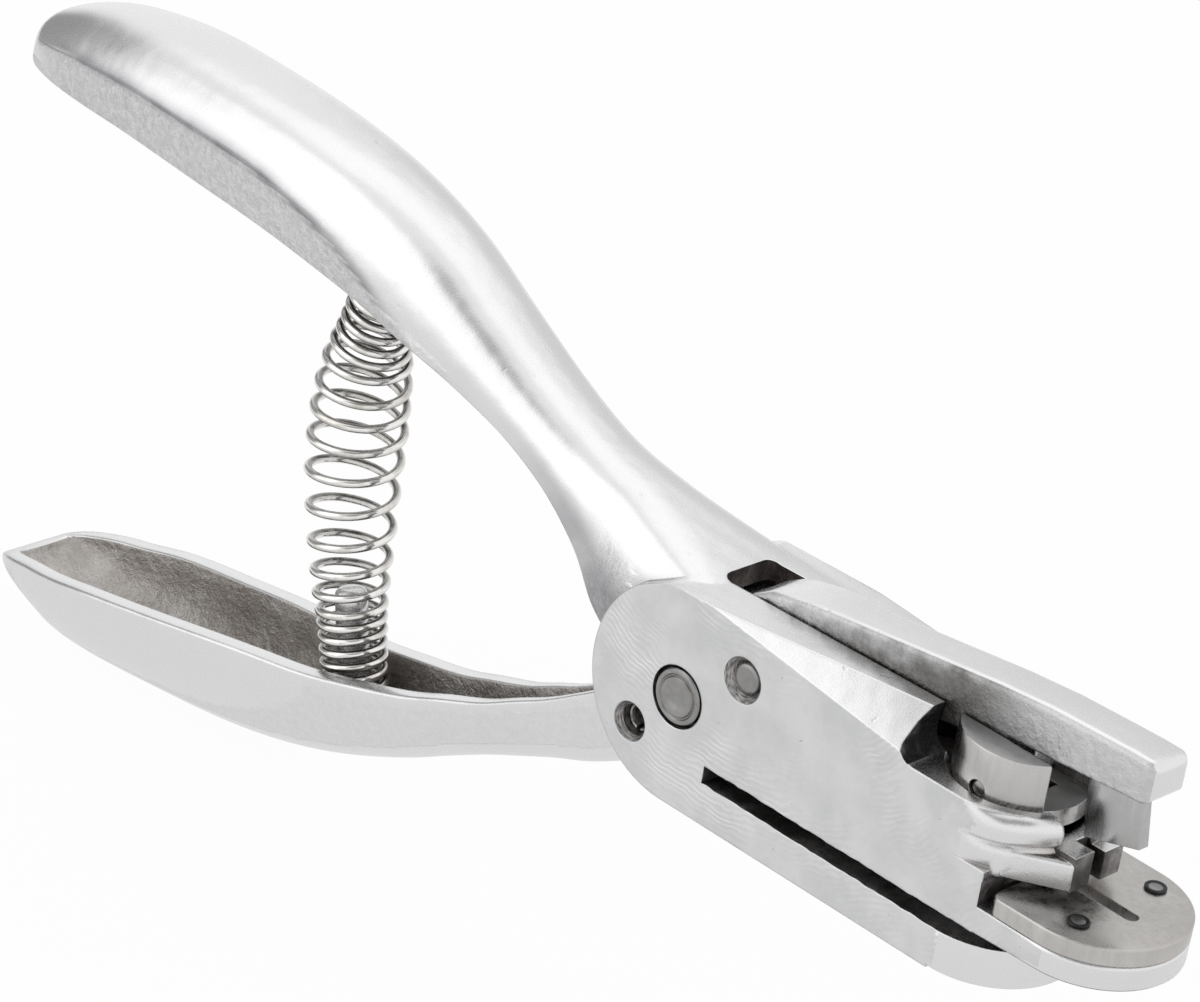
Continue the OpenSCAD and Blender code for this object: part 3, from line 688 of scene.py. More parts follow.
# %% Values of the head
HALF_W = 8.4
DISC_R = 10.9
GAP = 3.35
PUNCH_X = 33.5
BOSS_TOP = 6.7
STRIP_LOW, STRIP_TOP = -10.9, -6.8
LIP_LOW, PLATE_LOW, PLATE_TOP = -5.0, -2.4, -0.55
BOSS_LOW = 0.15
LIP_END = 44.6
NOSE_X, NOSE_HALF, NOSE_TOP = 43.4, 3.4, 3.95
CREASE_Z = 4.1
STOP, ROLL = (7.2, 5.35), (-5.1, -5.15)
RIVETS = [(46.1, 0.4 - 5.35), (46.1, 0.4 + 5.35)]


def arc(cx, cy, r, a0, a1, n):
    """Points on an arc, angles in degrees."""
    turns = [radians(lerp(a0, a1, i / n)) for i in range(n + 1)]
    return [(cx + r * cos(a), cy + r * sin(a)) for a in turns]


# %% Solid head before cutting
def lower_edge(e, z):
    return all(abs(v.co.z - z) < 1e-4 for v in e.verts)


def head_profile():
    tail = arc(0, 0, DISC_R, 270, 128, 48)[1:]
    return ([(PUNCH_X, STRIP_LOW), (PUNCH_X, BOSS_TOP)]
            + arc(27.75, BOSS_TOP + 1.9, 1.9, 270, 190, 9)
            + [(25.9, 9.9), (26.25, 11.22), (-3.2, 10.48)] + tail[::-1] + [(0, STRIP_LOW)])


def far_edge():
    """Cutter that rounds the far top edge of the head, along its slightly rising top."""
    r, top, start, along = 1.3, 10.36, -8, (36, 0, 0.9)
    worn = arc(HALF_W - r, top - r, r, 0, 90, 8)
    worn += [(HALF_W - r, top + 2), (HALF_W + 1, top + 2), (HALF_W + 1, top - r)]
    bm = bmesh.new()
    push(bm, [(start, y, z) for y, z in worn], along)
    return scratch(bm)


def head_block():
    """The head's profile pushed across, less its facets, with the ridges rounded over."""
    block = shape((across, head_profile(), -HALF_W, HALF_W))
    bm = combine(block, [("DIFFERENCE", t) for t in (facet(-1), facet(1), far_edge())])

    def ridge(e):
        """Edges over the near cheek, and the ends of both cheeks over the scoops."""
        a, b = (v.co for v in e.verts)
        if len(e.link_faces) < 2 or e.calc_face_angle() < 0.15 or min(a.z, b.z) < BOSS_TOP + 0.3:
            return False
        if abs(a.y) > HALF_W - 0.02 and abs(b.y) > HALF_W - 0.02:
            return False
        same_side = a.y * b.y > 0 and a.y < 0
        return same_side or (min(a.z, b.z) > 9.5 and min(a.x, b.x) > 25)

    print("ridge edges rounded:", soften(bm, ridge, 0.55, 4))
    return scratch(bm)


def round_plan(x0, x1, r=HALF_W, n=40):
    """Plan with a half-round front end."""
    return [(x0, -r)] + arc(x1, 0, r, -90, 90, n) + [(x0, r)]


def strip():
    bm = bmesh.new()
    upright(bm, round_plan(5, PUNCH_X), STRIP_LOW, STRIP_TOP)
    soften(bm, lambda e: lower_edge(e, STRIP_LOW), 0.45)
    soften(bm, lambda e: lower_edge(e, STRIP_TOP) and all(v.co.x > PUNCH_X for v in e.verts), 0.3)
    return scratch(bm)


def lip():
    bm = bmesh.new()
    upright(bm, round_plan(PUNCH_X - 6, LIP_END), LIP_LOW, PLATE_LOW)
    front = (lambda e: all(v.co.x > PUNCH_X - 5 for v in e.verts))
    soften(bm, lambda e: lower_edge(e, LIP_LOW) and front(e), 0.55)
    soften(bm, lambda e: lower_edge(e, PLATE_LOW) and front(e), 0.28)
    return scratch(bm)


def bulge(z, a):
    """Radius of the boss at a height and at an angle from straight ahead.

    The front shows two worn tiers with a crease between them, which wanders a little.
    """
    front = smooth((cos(a) + 0.02) / 0.5)
    tiers = [(0.15, -0.9), (0.3, -0.5), (0.6, -0.2), (1.2, 0.0), (2.4, 0.10), (3.1, 0.04),
             (3.5, -0.14), (3.75, -0.34), (3.9, -0.30), (4.05, 0.08), (4.3, 0.28), (5.0, 0.40),
             (5.6, 0.36), (6.1, 0.20), (6.4, -0.02), (6.6, -0.28), (6.7, -0.5)]
    wander = 0.22 * noise.noise(Vector((1.6 * cos(a), 1.6 * sin(a), 3.0)))
    worn = 0.06 * noise.noise(Vector((4 * cos(a), 4 * sin(a), z * 0.9)))
    return HALF_W + (lookup(z + wander, tiers) + worn) * max(front, 0.0)


def boss():
    """Round boss, drawn as a skin over rings from the card gap up to the rim."""
    bm = bmesh.new()
    heights = [0.15, 0.2, 0.3, 0.45, 0.6, 0.9, 1.2, 1.5, 1.8, 2.1, 2.4, 2.7, 3.0, 3.2, 3.4, 3.55,
               3.65, 3.75, 3.85, 3.95, 4.05, 4.2, 4.35, 4.5, 4.8, 5.2, 5.6, 5.9, 6.1, 6.25, 6.4,
               6.5, 6.6, 6.65, BOSS_TOP]
    around = [2 * pi * i / 120 for i in range(120)]
    skin(bm, [[(PUNCH_X + bulge(z, a) * cos(a), bulge(z, a) * sin(a), z) for a in around]
              for z in heights])
    return scratch(bm)


def nose():
    """Wedge from the boss to the nose, and the two worn blocks beside the blade's slit."""
    bm = bmesh.new()
    reach = NOSE_X - PUNCH_X
    turn = degrees(atan2(NOSE_HALF, reach) + acos(HALF_W / sqrt(reach ** 2 + NOSE_HALF ** 2)))
    side = (PUNCH_X + HALF_W * cos(radians(turn)), HALF_W * sin(radians(turn)))
    plan = [(PUNCH_X, 0), (side[0], -side[1]), (NOSE_X, -NOSE_HALF), (NOSE_X, NOSE_HALF), side]
    low, top = BOSS_LOW + 0.35, CREASE_Z - 0.75
    upright(bm, plan, low, top)
    soften(bm, lambda e: lower_edge(e, top) or lower_edge(e, low), 0.35)
    made = scratch(bm)
    bm = bmesh.new()
    low = BOSS_LOW + 0.36
    box(bm, (NOSE_X - 6, -NOSE_HALF, low), (NOSE_X, -0.5, NOSE_TOP))
    box(bm, (NOSE_X - 6, -0.6, low), (NOSE_X - 0.02, NOSE_HALF, NOSE_TOP - 0.6))
    return made, scratch(bm)


# %% The machinist's cuts
def facet(side):
    """Wedge that cuts the long facet on one cheek."""
    e = HALF_W + 0.6
    a, b = (-5, side * e, 10.9), (29, side * e, 6.6)
    c, d = (29, side * 4.1, 11.7), (29, side * e, 13.5)
    bm = bmesh.new()
    bmesh.ops.convex_hull(bm, input=[bm.verts.new(p) for p in (a, b, c, d)])
    return scratch(bm)


def torn_box(low, high, tear, cell=0.45, seed=0.0):
    """Box cutter with torn faces, for the walls that the saw left."""
    bm = bmesh.new()
    box(bm, low, high)
    for axis in range(3):
        count = min(140, int((high[axis] - low[axis]) / cell))
        if count > 1:
            for k in range(1, count):
                at = [0, 0, 0]
                at[axis] = low[axis] + (high[axis] - low[axis]) * k / count
                way = [0, 0, 0]
                way[axis] = 1
                bmesh.ops.bisect_plane(bm, geom=bm.verts[:] + bm.edges[:] + bm.faces[:],
                                       plane_co=at, plane_no=way)
    for v in bm.verts:
        p = v.co
        push_by = noise.noise(Vector((p.x * 0.9 + seed, p.y * 0.25, p.z * 0.9)))
        push_by += 0.5 * noise.noise(Vector((p.x * 2.7 + seed, p.y * 0.6, p.z * 2.7)))
        v.co = p + Vector((0.5 * push_by, 0, push_by)) * tear
    return scratch(bm)


HUB_ROOM, PIN_BORE, PIVOT_BORE = 8.7, 1.52, 2.52
PUNCH_BORE, STEM_BORE, BUSH_BORE, RIVET_BORE = 6.4, 3.05, 5.02, 0.92
THROUGH = 20


def countersinks():
    """Recesses for the rivet head and the two pins, the same on both sides of the head."""
    made = []
    for s in (-1, 1):
        for (x, z), low, high, y0, y1 in (
                ((0, 0), 3.1, 3.1, HALF_W - 1.2, HALF_W + 0.6),
                (STOP, 1.55, 2.45, HALF_W - 1.0, HALF_W + 0.25),
                (ROLL, 1.55, 2.1, HALF_W - 0.7, HALF_W + 0.2)):
            ends = (low, high) if s > 0 else (high, low)
            made.append(shape((bar, (x, s * (y0 + y1) / 2, z), *ends, y1 - y0, "Y", 72)))
    return made


def head_cuts():
    room = [(-1.4, 4), (-1.4, 16), (60, 24), (60, 8), (PUNCH_X, 8), (PUNCH_X, 5), (27, 4.7),
            (21, 3.2), (8.7, -0.6), (4, -2)]
    behind = [(0, 0), (-8.4, 2.2), (-34, 2.2), (-34, -30), (0, -30), (0, -HUB_ROOM)]
    room_bm = bmesh.new()
    across(room_bm, room, -GAP, GAP)
    soften(room_bm, lambda e: all(v.co.x < -1 for v in e.verts)
           and abs(e.verts[0].co.z - e.verts[1].co.z) > 6, 1.1, 5)
    cuts = [shape((bar, (0, 0, 0), HUB_ROOM, HUB_ROOM, 2 * GAP)), scratch(room_bm),
            shape((across, behind, -GAP, GAP)),
            shape((bar, (0, 0, 0), PIVOT_BORE, PIVOT_BORE, THROUGH)),
            shape((bar, (STOP[0], 0, STOP[1]), PIN_BORE, PIN_BORE, THROUGH)),
            shape((bar, (ROLL[0], 0, ROLL[1]), PIN_BORE, PIN_BORE, THROUGH))]
    cuts += countersinks()
    cuts += [shape((bar, (PUNCH_X, 0, 5.4), PUNCH_BORE, PUNCH_BORE, 13.2, "Z")),
             shape((bar, (PUNCH_X, 0, BOSS_TOP - 0.3), PUNCH_BORE, 6.95, 0.64, "Z")),
             shape((bar, (PUNCH_X, 0, -1), STEM_BORE, STEM_BORE, 10, "Z")),
             shape((box, (PUNCH_X + 3, -GAP, NOSE_TOP - 0.0001), (60, GAP, 20))),
             shape((box, (41.25, -0.82, -1), (50, 0.82, 5))),
             torn_box((37.6, -12, PLATE_LOW), (70, 12, BOSS_LOW), 0.03, 1.2, 5.0),
             torn_box((4.6, -12, STRIP_TOP), (70, 12, LIP_LOW), 0.10, 0.55, 1.7),
             shape((bar, (PUNCH_X, 0, -9), BUSH_BORE, BUSH_BORE, 6, "Z")),
             shape((box, (40.9, -1.3, -6), (48.9, 1.3, -1)))]
    cuts += [shape((bar, (x, y, -4), RIVET_BORE, RIVET_BORE, 5, "Z")) for x, y in RIVETS]
    return cuts


# %% Spring seat under the roof of the upper handle
SEAT_TOP, SEAT_TOP_LEAN = (-51.7, 19.0), 22
SEAT_LOW, SEAT_LOW_LEAN, PEG = (-47.75, -28.3), -13, 13.6


def leaning(bm, place, lean):
    turn = Matrix.Translation((place[0], 0, place[1])) @ Matrix.Rotation(radians(lean), 4, "Y")
    bmesh.ops.transform(bm, matrix=turn, verts=bm.verts)


def spring_seat():
    bm = bmesh.new()
    bar(bm, (0, 0, 4), 4, 4.3, 8, "Z", 48)
    bar(bm, (0, 0, -0.5), 1.6, 1.6, 3, "Z", 48)
    leaning(bm, SEAT_TOP, SEAT_TOP_LEAN)
    return scratch(bm)


# %% Build the frame casting
AS_CAST, AS_MILLED, AS_SAWN, AS_DRILLED, AS_SCOOPED, SHUT_IN = range(6)


def frame_face(c, n):
    """Which finish a face of the frame casting gets, from its centre and normal."""
    beside = abs(c.y)
    if abs(n.y) > 0.99 and beside > HALF_W - 0.05:
        return AS_MILLED
    if c.z > BOSS_TOP + 0.02 and 25.2 < c.x < 28.4 and n.x > 0.25 and beside < HALF_W - 0.05:
        return AS_SCOOPED
    # Faces in the room between the cheeks take the painted shade of the inside casting.
    if beside < GAP + 0.05 and -9 < c.x < 27.5 and -9 < c.z < 10.3:
        if abs(n.y) > 0.7 or abs(n.x) > 0.4 or n.z > 0.5:
            return SHUT_IN
    in_nose = c.x > 41 and beside < NOSE_HALF + 0.2 and 0.4 < c.z < 4.2
    if in_nose and max(abs(n.y), n.x) > 0.5:
        return AS_SAWN
    if 37 < c.x < 38.2 and PLATE_LOW < c.z < BOSS_LOW and n.x > 0.5:
        return AS_SAWN
    in_slot = STRIP_TOP - 0.25 < c.z < LIP_LOW + 0.25 and c.x > 4.3 and beside < HALF_W + 0.1
    if in_slot and (abs(n.z) > 0.6 or n.x > 0.5):
        return AS_SAWN
    for x, z in ((0, 0), STOP, ROLL):
        if sqrt((c.x - x) ** 2 + (c.z - z) ** 2) < 3.2 and beside < HALF_W - 0.01:
            return AS_DRILLED
    if sqrt((c.x - PUNCH_X) ** 2 + c.y ** 2) < 7.0 and abs(n.z) < 0.95 and c.z > -7:
        return AS_DRILLED
    return AS_CAST


def paint(piece, name, share):
    """Stores a share at each point of a piece, from a rule on its place in mm."""
    values = piece.data.attributes.new(name, "FLOAT", "POINT")
    for v, value in zip(piece.data.vertices, values.data):
        value.value = share(BACK @ v.co)


def build_frame():
    squarer = (lambda n: lerp(FULL, 0.30, smooth((n - 12.2) / 3)))
    bm = bmesh.new()
    skin(bm, handle_sections(upper, 3.5, 11.2, (1.4, 1.6), squarer))
    handle = scratch(bm)
    head = head_block()
    stop = shape((box, (27.5, -HALF_W, LIP_LOW), (37.6, HALF_W, BOSS_LOW + 1)))
    solids = [strip(), boss(), *nose(), lip(), stop, handle, spring_seat()]
    steps = [("UNION", tool) for tool in solids] + [("DIFFERENCE", tool) for tool in head_cuts()]
    return combine(head, steps)


def height_share(p):
    """How far up the side of the upper handle a point lies: 0 at the rim, 1 at the crown."""
    rim = lookup(p.x, [(r[2], r[3]) for r in upper])
    crown = lookup(p.x, [(r[0], r[1]) for r in upper])
    return (p.z - rim) / max(crown - rim, 1)


def upper_raw(p):
    """Rough below the crease of the grip, where the neck meets the disc, and round the boss."""
    if p.x < -9:
        share = height_share(p)
        fold = lookup(p.x, CREASE_PATH)
        side = smooth((fold - share) / 0.05 + 0.5) * smooth((p.x + 101) / 8)
        side = max(side, 0.5 * smooth((0.22 - share) / 0.1) * smooth((-30 - p.x) / 12))
        corner = smooth((p.x + 17) / 6) * smooth((0.75 - share) / 0.3)
        return max(side, corner * 0.9)
    if p.x > 25 and 0 < p.z < CREASE_Z:
        return 0.12
    return 0.02


def upper_crease_shade(p):
    """Painted shade: a dark line along the crease of the grip, and darker low on the neck."""
    if p.x > -8:
        return 0.0
    share = height_share(p)
    if p.x > -38:
        return 0.7 * smooth((p.x + 32) / 20) * smooth((0.55 - share) / 0.3)
    off = share - lookup(p.x, CREASE_PATH) - 0.01
    soft = 0.10 if off > 0 else 0.03
    return exp(-(off / soft) ** 2) * crease_strength(p.x)


frame_bm = build_frame()
frame_piece = finish_piece(frame_bm, "frame_casting_dressed", "frame", ["frame_casting"],
                           [CAST, MILLED, SAWN, DRILLED, SCOOP, SHADED_INSIDE], frame_face)
paint(frame_piece, "raw", upper_raw)
paint(frame_piece, "fold", upper_crease_shade)

# %% [markdown]
# ## Lever casting
#
# The second casting turns on the rivet. Behind it is the lower handle with a peg that holds the
# spring. In front of it runs the arm, with a tongue that drives the hole punch.

# %% Build the lever casting
ARM_TOP = [(2, 10.3), (4.4, 11.7), (8.5, 12.6), (12.7, 13.2), (18, 13.85), (25.6, 14.8),
           (31.3, 15.5), (37, 16.0), (43, 16.2), (46.5, 16.3), (49.3, 16.25)]
ARM_LOW = [(2, 2), (7.6, 3.2), (20, 7.6), (24, 8.6), (27.4, 9.1), (30.5, 9.6), (33, 11.0),
           (36.8, 11.2), (43.4, 11.7), (46, 11.9), (48.2, 12.0), (49.3, 12.2)]
ARM_NEAR, ARM_FAR, ARM_END, ARM_ROUND = -3.05, 2.1, 49.3, 1.1


def arm_section(x, inset):
    """Rounded oblong across the arm; its far top edge is the softest."""
    top, low = lookup(x, ARM_TOP) - inset, lookup(x, ARM_LOW) + inset
    near = ARM_NEAR + inset
    far = lerp(-ARM_NEAR, ARM_FAR, smooth((x - 8) / 8)) - inset
    points = []
    for y, z, r, a in ((far, top, 1.0, 0), (near, top, 0.65, 90), (near, low, 0.4, 180),
                       (far, low, 0.4, 270)):
        r = max(r - inset * 0.4, 0.1)
        middle = (y - r if y == far else y + r, z - r if z == top else z + r)
        points += [(x, y, z) for y, z in arc(*middle, r, a, a + 90, 7)]
    return points


def arm():
    """Skin along the arm; the last few sections shrink, which rounds its front end."""
    stations = [(x, 0) for x in (2, 3, 4.4, 6.4, 8.5, 10.5, 12.7, 15, 18, 21.5, 25.6, 28.5, 31.3,
                                 34, 37, 40, 43, 46.5, 48.2)]
    stations += [(ARM_END - ARM_ROUND * (1 - sin(radians(a))), ARM_ROUND * (1 - cos(radians(a))))
                 for a in (12, 24, 36, 48, 60, 72, 82, 89)]
    bm = bmesh.new()
    skin(bm, [arm_section(x, inset) for x, inset in stations])
    return scratch(bm)


SWING = 8.6


def swing_slot(x, z, d):
    """Slot curved about the pivot, so that a pin can pass while the lever swings."""
    reach, a0 = sqrt(x * x + z * z), degrees(atan2(z, x))
    a1 = a0 + SWING
    end = (reach * cos(radians(a1)), reach * sin(radians(a1)))
    outline = (arc(0, 0, reach + d / 2, a0, a1, 6) + arc(*end, d / 2, a1 + 15, a1 + 165, 10)
               + arc(0, 0, reach - d / 2, a1, a0, 6) + arc(x, z, d / 2, a0 + 195, a0 + 345, 10))
    return shape((across, outline, -10, 10))


def peg():
    """Peg in the lower handle that holds the spring, with the boss under it."""
    bm = bmesh.new()
    bar(bm, (0, 0, -1.0), 4.0, 3.9, 2.0, "Z", 64)
    bar(bm, (0, 0, PEG / 2 - 0.4), 1.75, 1.65, PEG + 0.2, "Z", 48)
    soften(bm, lambda e: all(v.co.z > PEG - 0.5 for v in e.verts), 0.7, 4)
    leaning(bm, SEAT_LOW, SEAT_LOW_LEAN)
    return scratch(bm)


def build_lever():
    bm = bmesh.new()
    skin(bm, handle_sections(lower, 2.3, 17.7, (0.4, 1.6), creased=0.0, wall=2.1))
    handle = scratch(bm)
    tongue = [(31.6, 12), (35.4, 12), (35.4, 5.7), (34.8, 5.1), (32.2, 5.1), (31.6, 5.7)]
    adds = [shape((bar, (0, 0, 0), 8.2, 8.2, 6.1, "Y", 128)), arm(),
            shape((across, tongue, -1.3, 1.3)), peg()]
    blade_room = [(41.78, 4.58), (47.72, 6.28), (46.7, 13.22), (40.48, 13.22)]
    cuts = [shape((bar, (0, 0, 0), 2.55, 2.55, 20)), swing_slot(*STOP, 3.3),
            swing_slot(*ROLL, 3.3), shape((across, blade_room, -0.72, 0.72)),
            shape((box, (31.95, -9, 5.93), (34.4, 9, 7.87)))]
    return combine(handle, [("UNION", t) for t in adds] + [("DIFFERENCE", t) for t in cuts])


def lower_raw(p):
    """A little rough inside the hollow of the lower handle."""
    if p.x > -8:
        return 0.02
    rim = lookup(p.x, [(r[2], r[3]) for r in lower])
    floor = lookup(p.x, [(r[0], r[1]) for r in lower])
    return 0.35 * smooth(rim - 0.5 - p.z) if abs(p.y) < 6.3 and p.z > floor + 2 else 0


AS_SHADED_SIDE, IN_HOLLOW = 1, 2


def lever_face(c, n):
    # Sides of the arm take the painted shade of the slot.
    """Which finish a face of the lever casting gets."""
    if c.x > 1 and abs(n.y) > 0.6 and abs(c.y) > 2.4:
        return AS_SHADED_SIDE
    rim = lookup(c.x, [(r[2], r[3]) for r in lower])
    wide = lookup(c.x, [(r[0], r[4]) for r in lower])
    if c.x < -9 and c.z < rim - 0.15 and abs(c.y) < wide - 0.9 and n.z > -0.2:
        return IN_HOLLOW
    return AS_CAST


lever_bm = build_lever()
lever_piece = finish_piece(lever_bm, "lever_casting_dressed", "lever", ["lever_casting"],
                           [CAST, ARM_SIDE, CHANNEL], lever_face)
paint(lever_piece, "raw", lower_raw)

# %% [markdown]
# ## Return spring
#
# The spring is one wire: close coils at both ends and wide open ones between, leaning with the
# handles. The formula is the one in the CAD source, drawn with many more sides.

# %% Wind the spring
axis_at = [(-28, -47.8), (-24.4, -48.6), (-20.9, -49.5), (-15.1, -50.9), (-10.4, -51.7),
           (-4.5, -52.6), (0, -52.9), (5, -53), (9.2, -52.8), (13.3, -52.4), (19, -51.7)]
lean_at = [(-28, -13), (-19, -12), (-12, -8), (-4, -2), (3, 4), (9, 11), (13.5, 18), (19, 22)]
swell_at = [(-21, 0), (-17.5, 0.1), (-15, 0.3), (-10.4, 0.6), (-4.5, 0.9), (0, 1), (3, 1)]
taper_at = [(3, 1), (6.1, 0.9), (9.2, 0.7), (11.6, 0.3), (13.3, 0.12), (15, 0)]
WIRE_R = 0.44
LOW_TURNS, OPEN_TURNS, TOP_TURNS, CLOSE_P = 8, 9, 6.5, 1.34
COILS = LOW_TURNS + OPEN_TURNS + TOP_TURNS
spring_low = SEAT_LOW[1] + (WIRE_R + 0.1) * cos(radians(SEAT_LOW_LEAN))
spring_high = SEAT_TOP[1] - (WIRE_R + 0.1) * cos(radians(SEAT_TOP_LEAN))
open_span = spring_high - spring_low - (LOW_TURNS + TOP_TURNS) * CLOSE_P


def coil_height(n):
    t = min(1, max(0, (n - LOW_TURNS) / OPEN_TURNS))
    eased = t - 0.09 * sin(2 * pi * t) * (1 - t * t) * 0.6
    return (spring_low + min(n, LOW_TURNS) * CLOSE_P + open_span * eased
            + max(0, n - LOW_TURNS - OPEN_TURNS) * CLOSE_P)


def coil_point(n):
    z = coil_height(n)
    lean = radians(lookup(z, lean_at))
    wide = (lerp(7.1, 10.2, lookup(z, swell_at)) if z < 2
            else lerp(7.0, 10.2, lookup(z, taper_at)))
    out = cos(2 * pi * n) * Vector((cos(lean), 0, -sin(lean))) + sin(2 * pi * n) * Vector((0, 1, 0))
    return Vector((lookup(z, axis_at), 0, z)) + (wide / 2 - WIRE_R) * out


WIRE_SIDES = 16
DARK_REFLECTIONS = ((112, 58), (300, 60))


def dark_reflection_share(k):
    """Painted dark reflections along the wire: place and half width in degrees from its outer side.
    """
    a = 360 * k / WIRE_SIDES
    off = [min(abs(a - middle), 360 - abs(a - middle)) / half for middle, half in DARK_REFLECTIONS]
    return max(smooth(1.6 * (1 - d)) for d in off)


def build_spring():
    per_turn = 40
    path = [coil_point(i / per_turn) for i in range(int(COILS * per_turn) + 1)]
    sections = []
    for i, p in enumerate(path):
        along = (path[min(i + 1, len(path) - 1)] - path[max(i - 1, 0)]).normalized()
        flat = along.cross(Vector((0, 0, 1))).normalized()
        rise = flat.cross(along)
        turns = [2 * pi * k / WIRE_SIDES for k in range(WIRE_SIDES)]
        sections.append([p + WIRE_R * (cos(a) * flat + sin(a) * rise) for a in turns])
    bm = bmesh.new()
    skin(bm, sections)
    return bm


spring = finish_piece(build_spring(), "return_spring_dressed", None, ["return_spring"], [NICKEL],
                      sharp=60)
# Painted dark reflections, kept in the attribute 'raw'.
reflection_lines = spring.data.attributes.new("raw", "FLOAT", "POINT")
for turn_mark, value in zip(spring.data.attributes["place"].data, reflection_lines.data):
    value.value = dark_reflection_share(turn_mark.value)
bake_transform(spring)

# %% [markdown]
# ## Pins and rivets
#
# The pivot is a headed rivet closed down on both sides, with a turned groove near its edge. The
# stop pins sit in countersinks. Each is a turned profile, spun about its own axis.

# %% Turned pins
def turned(profile, segments=72):
    """Bmesh of a profile of (radius, height) points spun about Z, closed on the axis."""
    bm = bmesh.new()
    verts = [bm.verts.new((r, 0, h)) for r, h in profile]
    edges = [bm.edges.new(pair) for pair in zip(verts, verts[1:])]
    bmesh.ops.spin(bm, geom=verts + edges, cent=(0, 0, 0), axis=(0, 0, 1), angle=2 * pi,
                   steps=segments, use_merge=True)
    bmesh.ops.remove_doubles(bm, verts=bm.verts, dist=0.0005)
    return bm


def lay_across(bm, x, z):
    bmesh.ops.rotate(bm, matrix=Matrix.Rotation(pi / 2, 3, "X"), verts=bm.verts)
    bmesh.ops.translate(bm, vec=(x, 0, z), verts=bm.verts)


def mirrored(half):
    """Full profile from the half above the middle plane."""
    return half + [(r, -h) for r, h in reversed(half)]


rivet_bm = turned(mirrored([(0, 8.22), (0.6, 8.25), (1.2, 8.38), (1.7, 8.54), (1.9, 8.54),
                            (2.02, 8.36), (2.14, 8.36), (2.3, 8.52), (2.62, 8.46), (2.78, 8.3),
                            (2.8, 8.0), (2.8, 7.3), (2.5, 7.3), (2.5, 0)]))
lay_across(rivet_bm, 0, 0)
finish_piece(rivet_bm, "pivot_rivet_dressed", "frame", ["pivot_rivet"], [RIVET_STEEL])

stop_bm = turned(mirrored([(0, 7.93), (0.9, 7.92), (1.05, 7.96), (1.2, 7.94), (1.42, 7.8),
                           (1.5, 7.6), (1.5, 0)]), 56)
lay_across(stop_bm, *STOP)
finish_piece(stop_bm, "closing_stop_pin_dressed", "frame", ["closing_stop_pin"], [RIVET_STEEL])

tube = turned(mirrored([(1.5, 6.6), (1.42, 6.88), (1.3, 6.95), (1.15, 6.9), (1.05, 6.7)]), 56)
rim_edges = [e for e in tube.edges if len(e.link_faces) == 1]
bmesh.ops.bridge_loops(tube, edges=rim_edges)
lay_across(tube, *ROLL)
roll_tube = scratch(tube)
roll_bm = combine(roll_tube, [("DIFFERENCE", shape(
    (box, (ROLL[0] - 0.25, -9, ROLL[1] - 3), (ROLL[0] + 0.25, 9, ROLL[1]))))])
finish_piece(roll_bm, "opening_stop_pin_dressed", "frame", ["opening_stop_pin"], [DRILLED])

# %% [markdown]
# ## Hole punch and its cross pin
#
# The punch is a turned steel body with a slot across its head for the arm. Its flanks were
# ground, its top stayed dull. A short pin ties it to the arm's tongue.

# %% Build the hole punch
CROSS_Z = 6.9
punch_bm = turned([(0, -4.75), (3, -4.75), (3, 4.62), (6.2, 4.62), (6.35, 4.77), (6.35, 10.82),
                   (6.27, 11.0), (6.1, 11.1), (0, 11.1)], 112)
bmesh.ops.translate(punch_bm, vec=(PUNCH_X, 0, 0), verts=punch_bm.verts)
punch = scratch(punch_bm)
punch_cuts = [shape((box, (20, -GAP, 6.5), (50, GAP, 20))),
              shape((box, (PUNCH_X - 2.25, -1.6, 4.7), (PUNCH_X + 2.95, 1.6, 14))),
              shape((bar, (PUNCH_X, 0, CROSS_Z), 0.9, 0.9, 16, "Y", 40)),
              shape((bar, (PUNCH_X, 0, -5.5), 1.6, 1.6, 20, "Y", 48))]
punch_bm = combine(punch, [("DIFFERENCE", t) for t in punch_cuts])
finish_piece(punch_bm, "hole_punch_dressed", "round_punch", ["hole_punch"],
             [PUNCH_SIDE, PUNCH_TOP], lambda c, n: int(n.z > 0.8))
cross_bm = turned(mirrored([(0, 6.05), (0.6, 6.03), (0.8, 5.9), (0.85, 5.7), (0.85, 0)]), 40)
lay_across(cross_bm, PUNCH_X, CROSS_Z)
finish_piece(cross_bm, "punch_cross_pin_dressed", "round_punch", ["punch_cross_pin"],
             [RIVET_STEEL])

# %% [markdown]
# ## Slot blade, die plate, rivets and bush
#
# The blade is a ground strip with a slanted edge. Below it lies the die plate, held to the lip by
# two blackened rivets, each with a worn crown in a dark ring.

# %% Blade and die plate
blade_lean = tan(radians(SWING))
BLADE_TOP, BLADE_HALF = 13.2, 0.7
EDGE_REAR, EDGE_FRONT = (41.8, 4.6), (47.7, 6.3)
blade_bm = bmesh.new()
tops = [(x - blade_lean * (BLADE_TOP - z), BLADE_TOP) for x, z in (EDGE_FRONT, EDGE_REAR)]
across(blade_bm, [EDGE_REAR, EDGE_FRONT] + tops, -BLADE_HALF, BLADE_HALF)
soften(blade_bm, lambda e: all(v.co.z > 5 or v.co.x < 42 for v in e.verts)
       and abs(e.verts[0].co.y - e.verts[1].co.y) < 0.01, 0.08, 2)
finish_piece(blade_bm, "slot_blade_dressed", "lever", ["slot_blade"], [BLADE_STEEL])

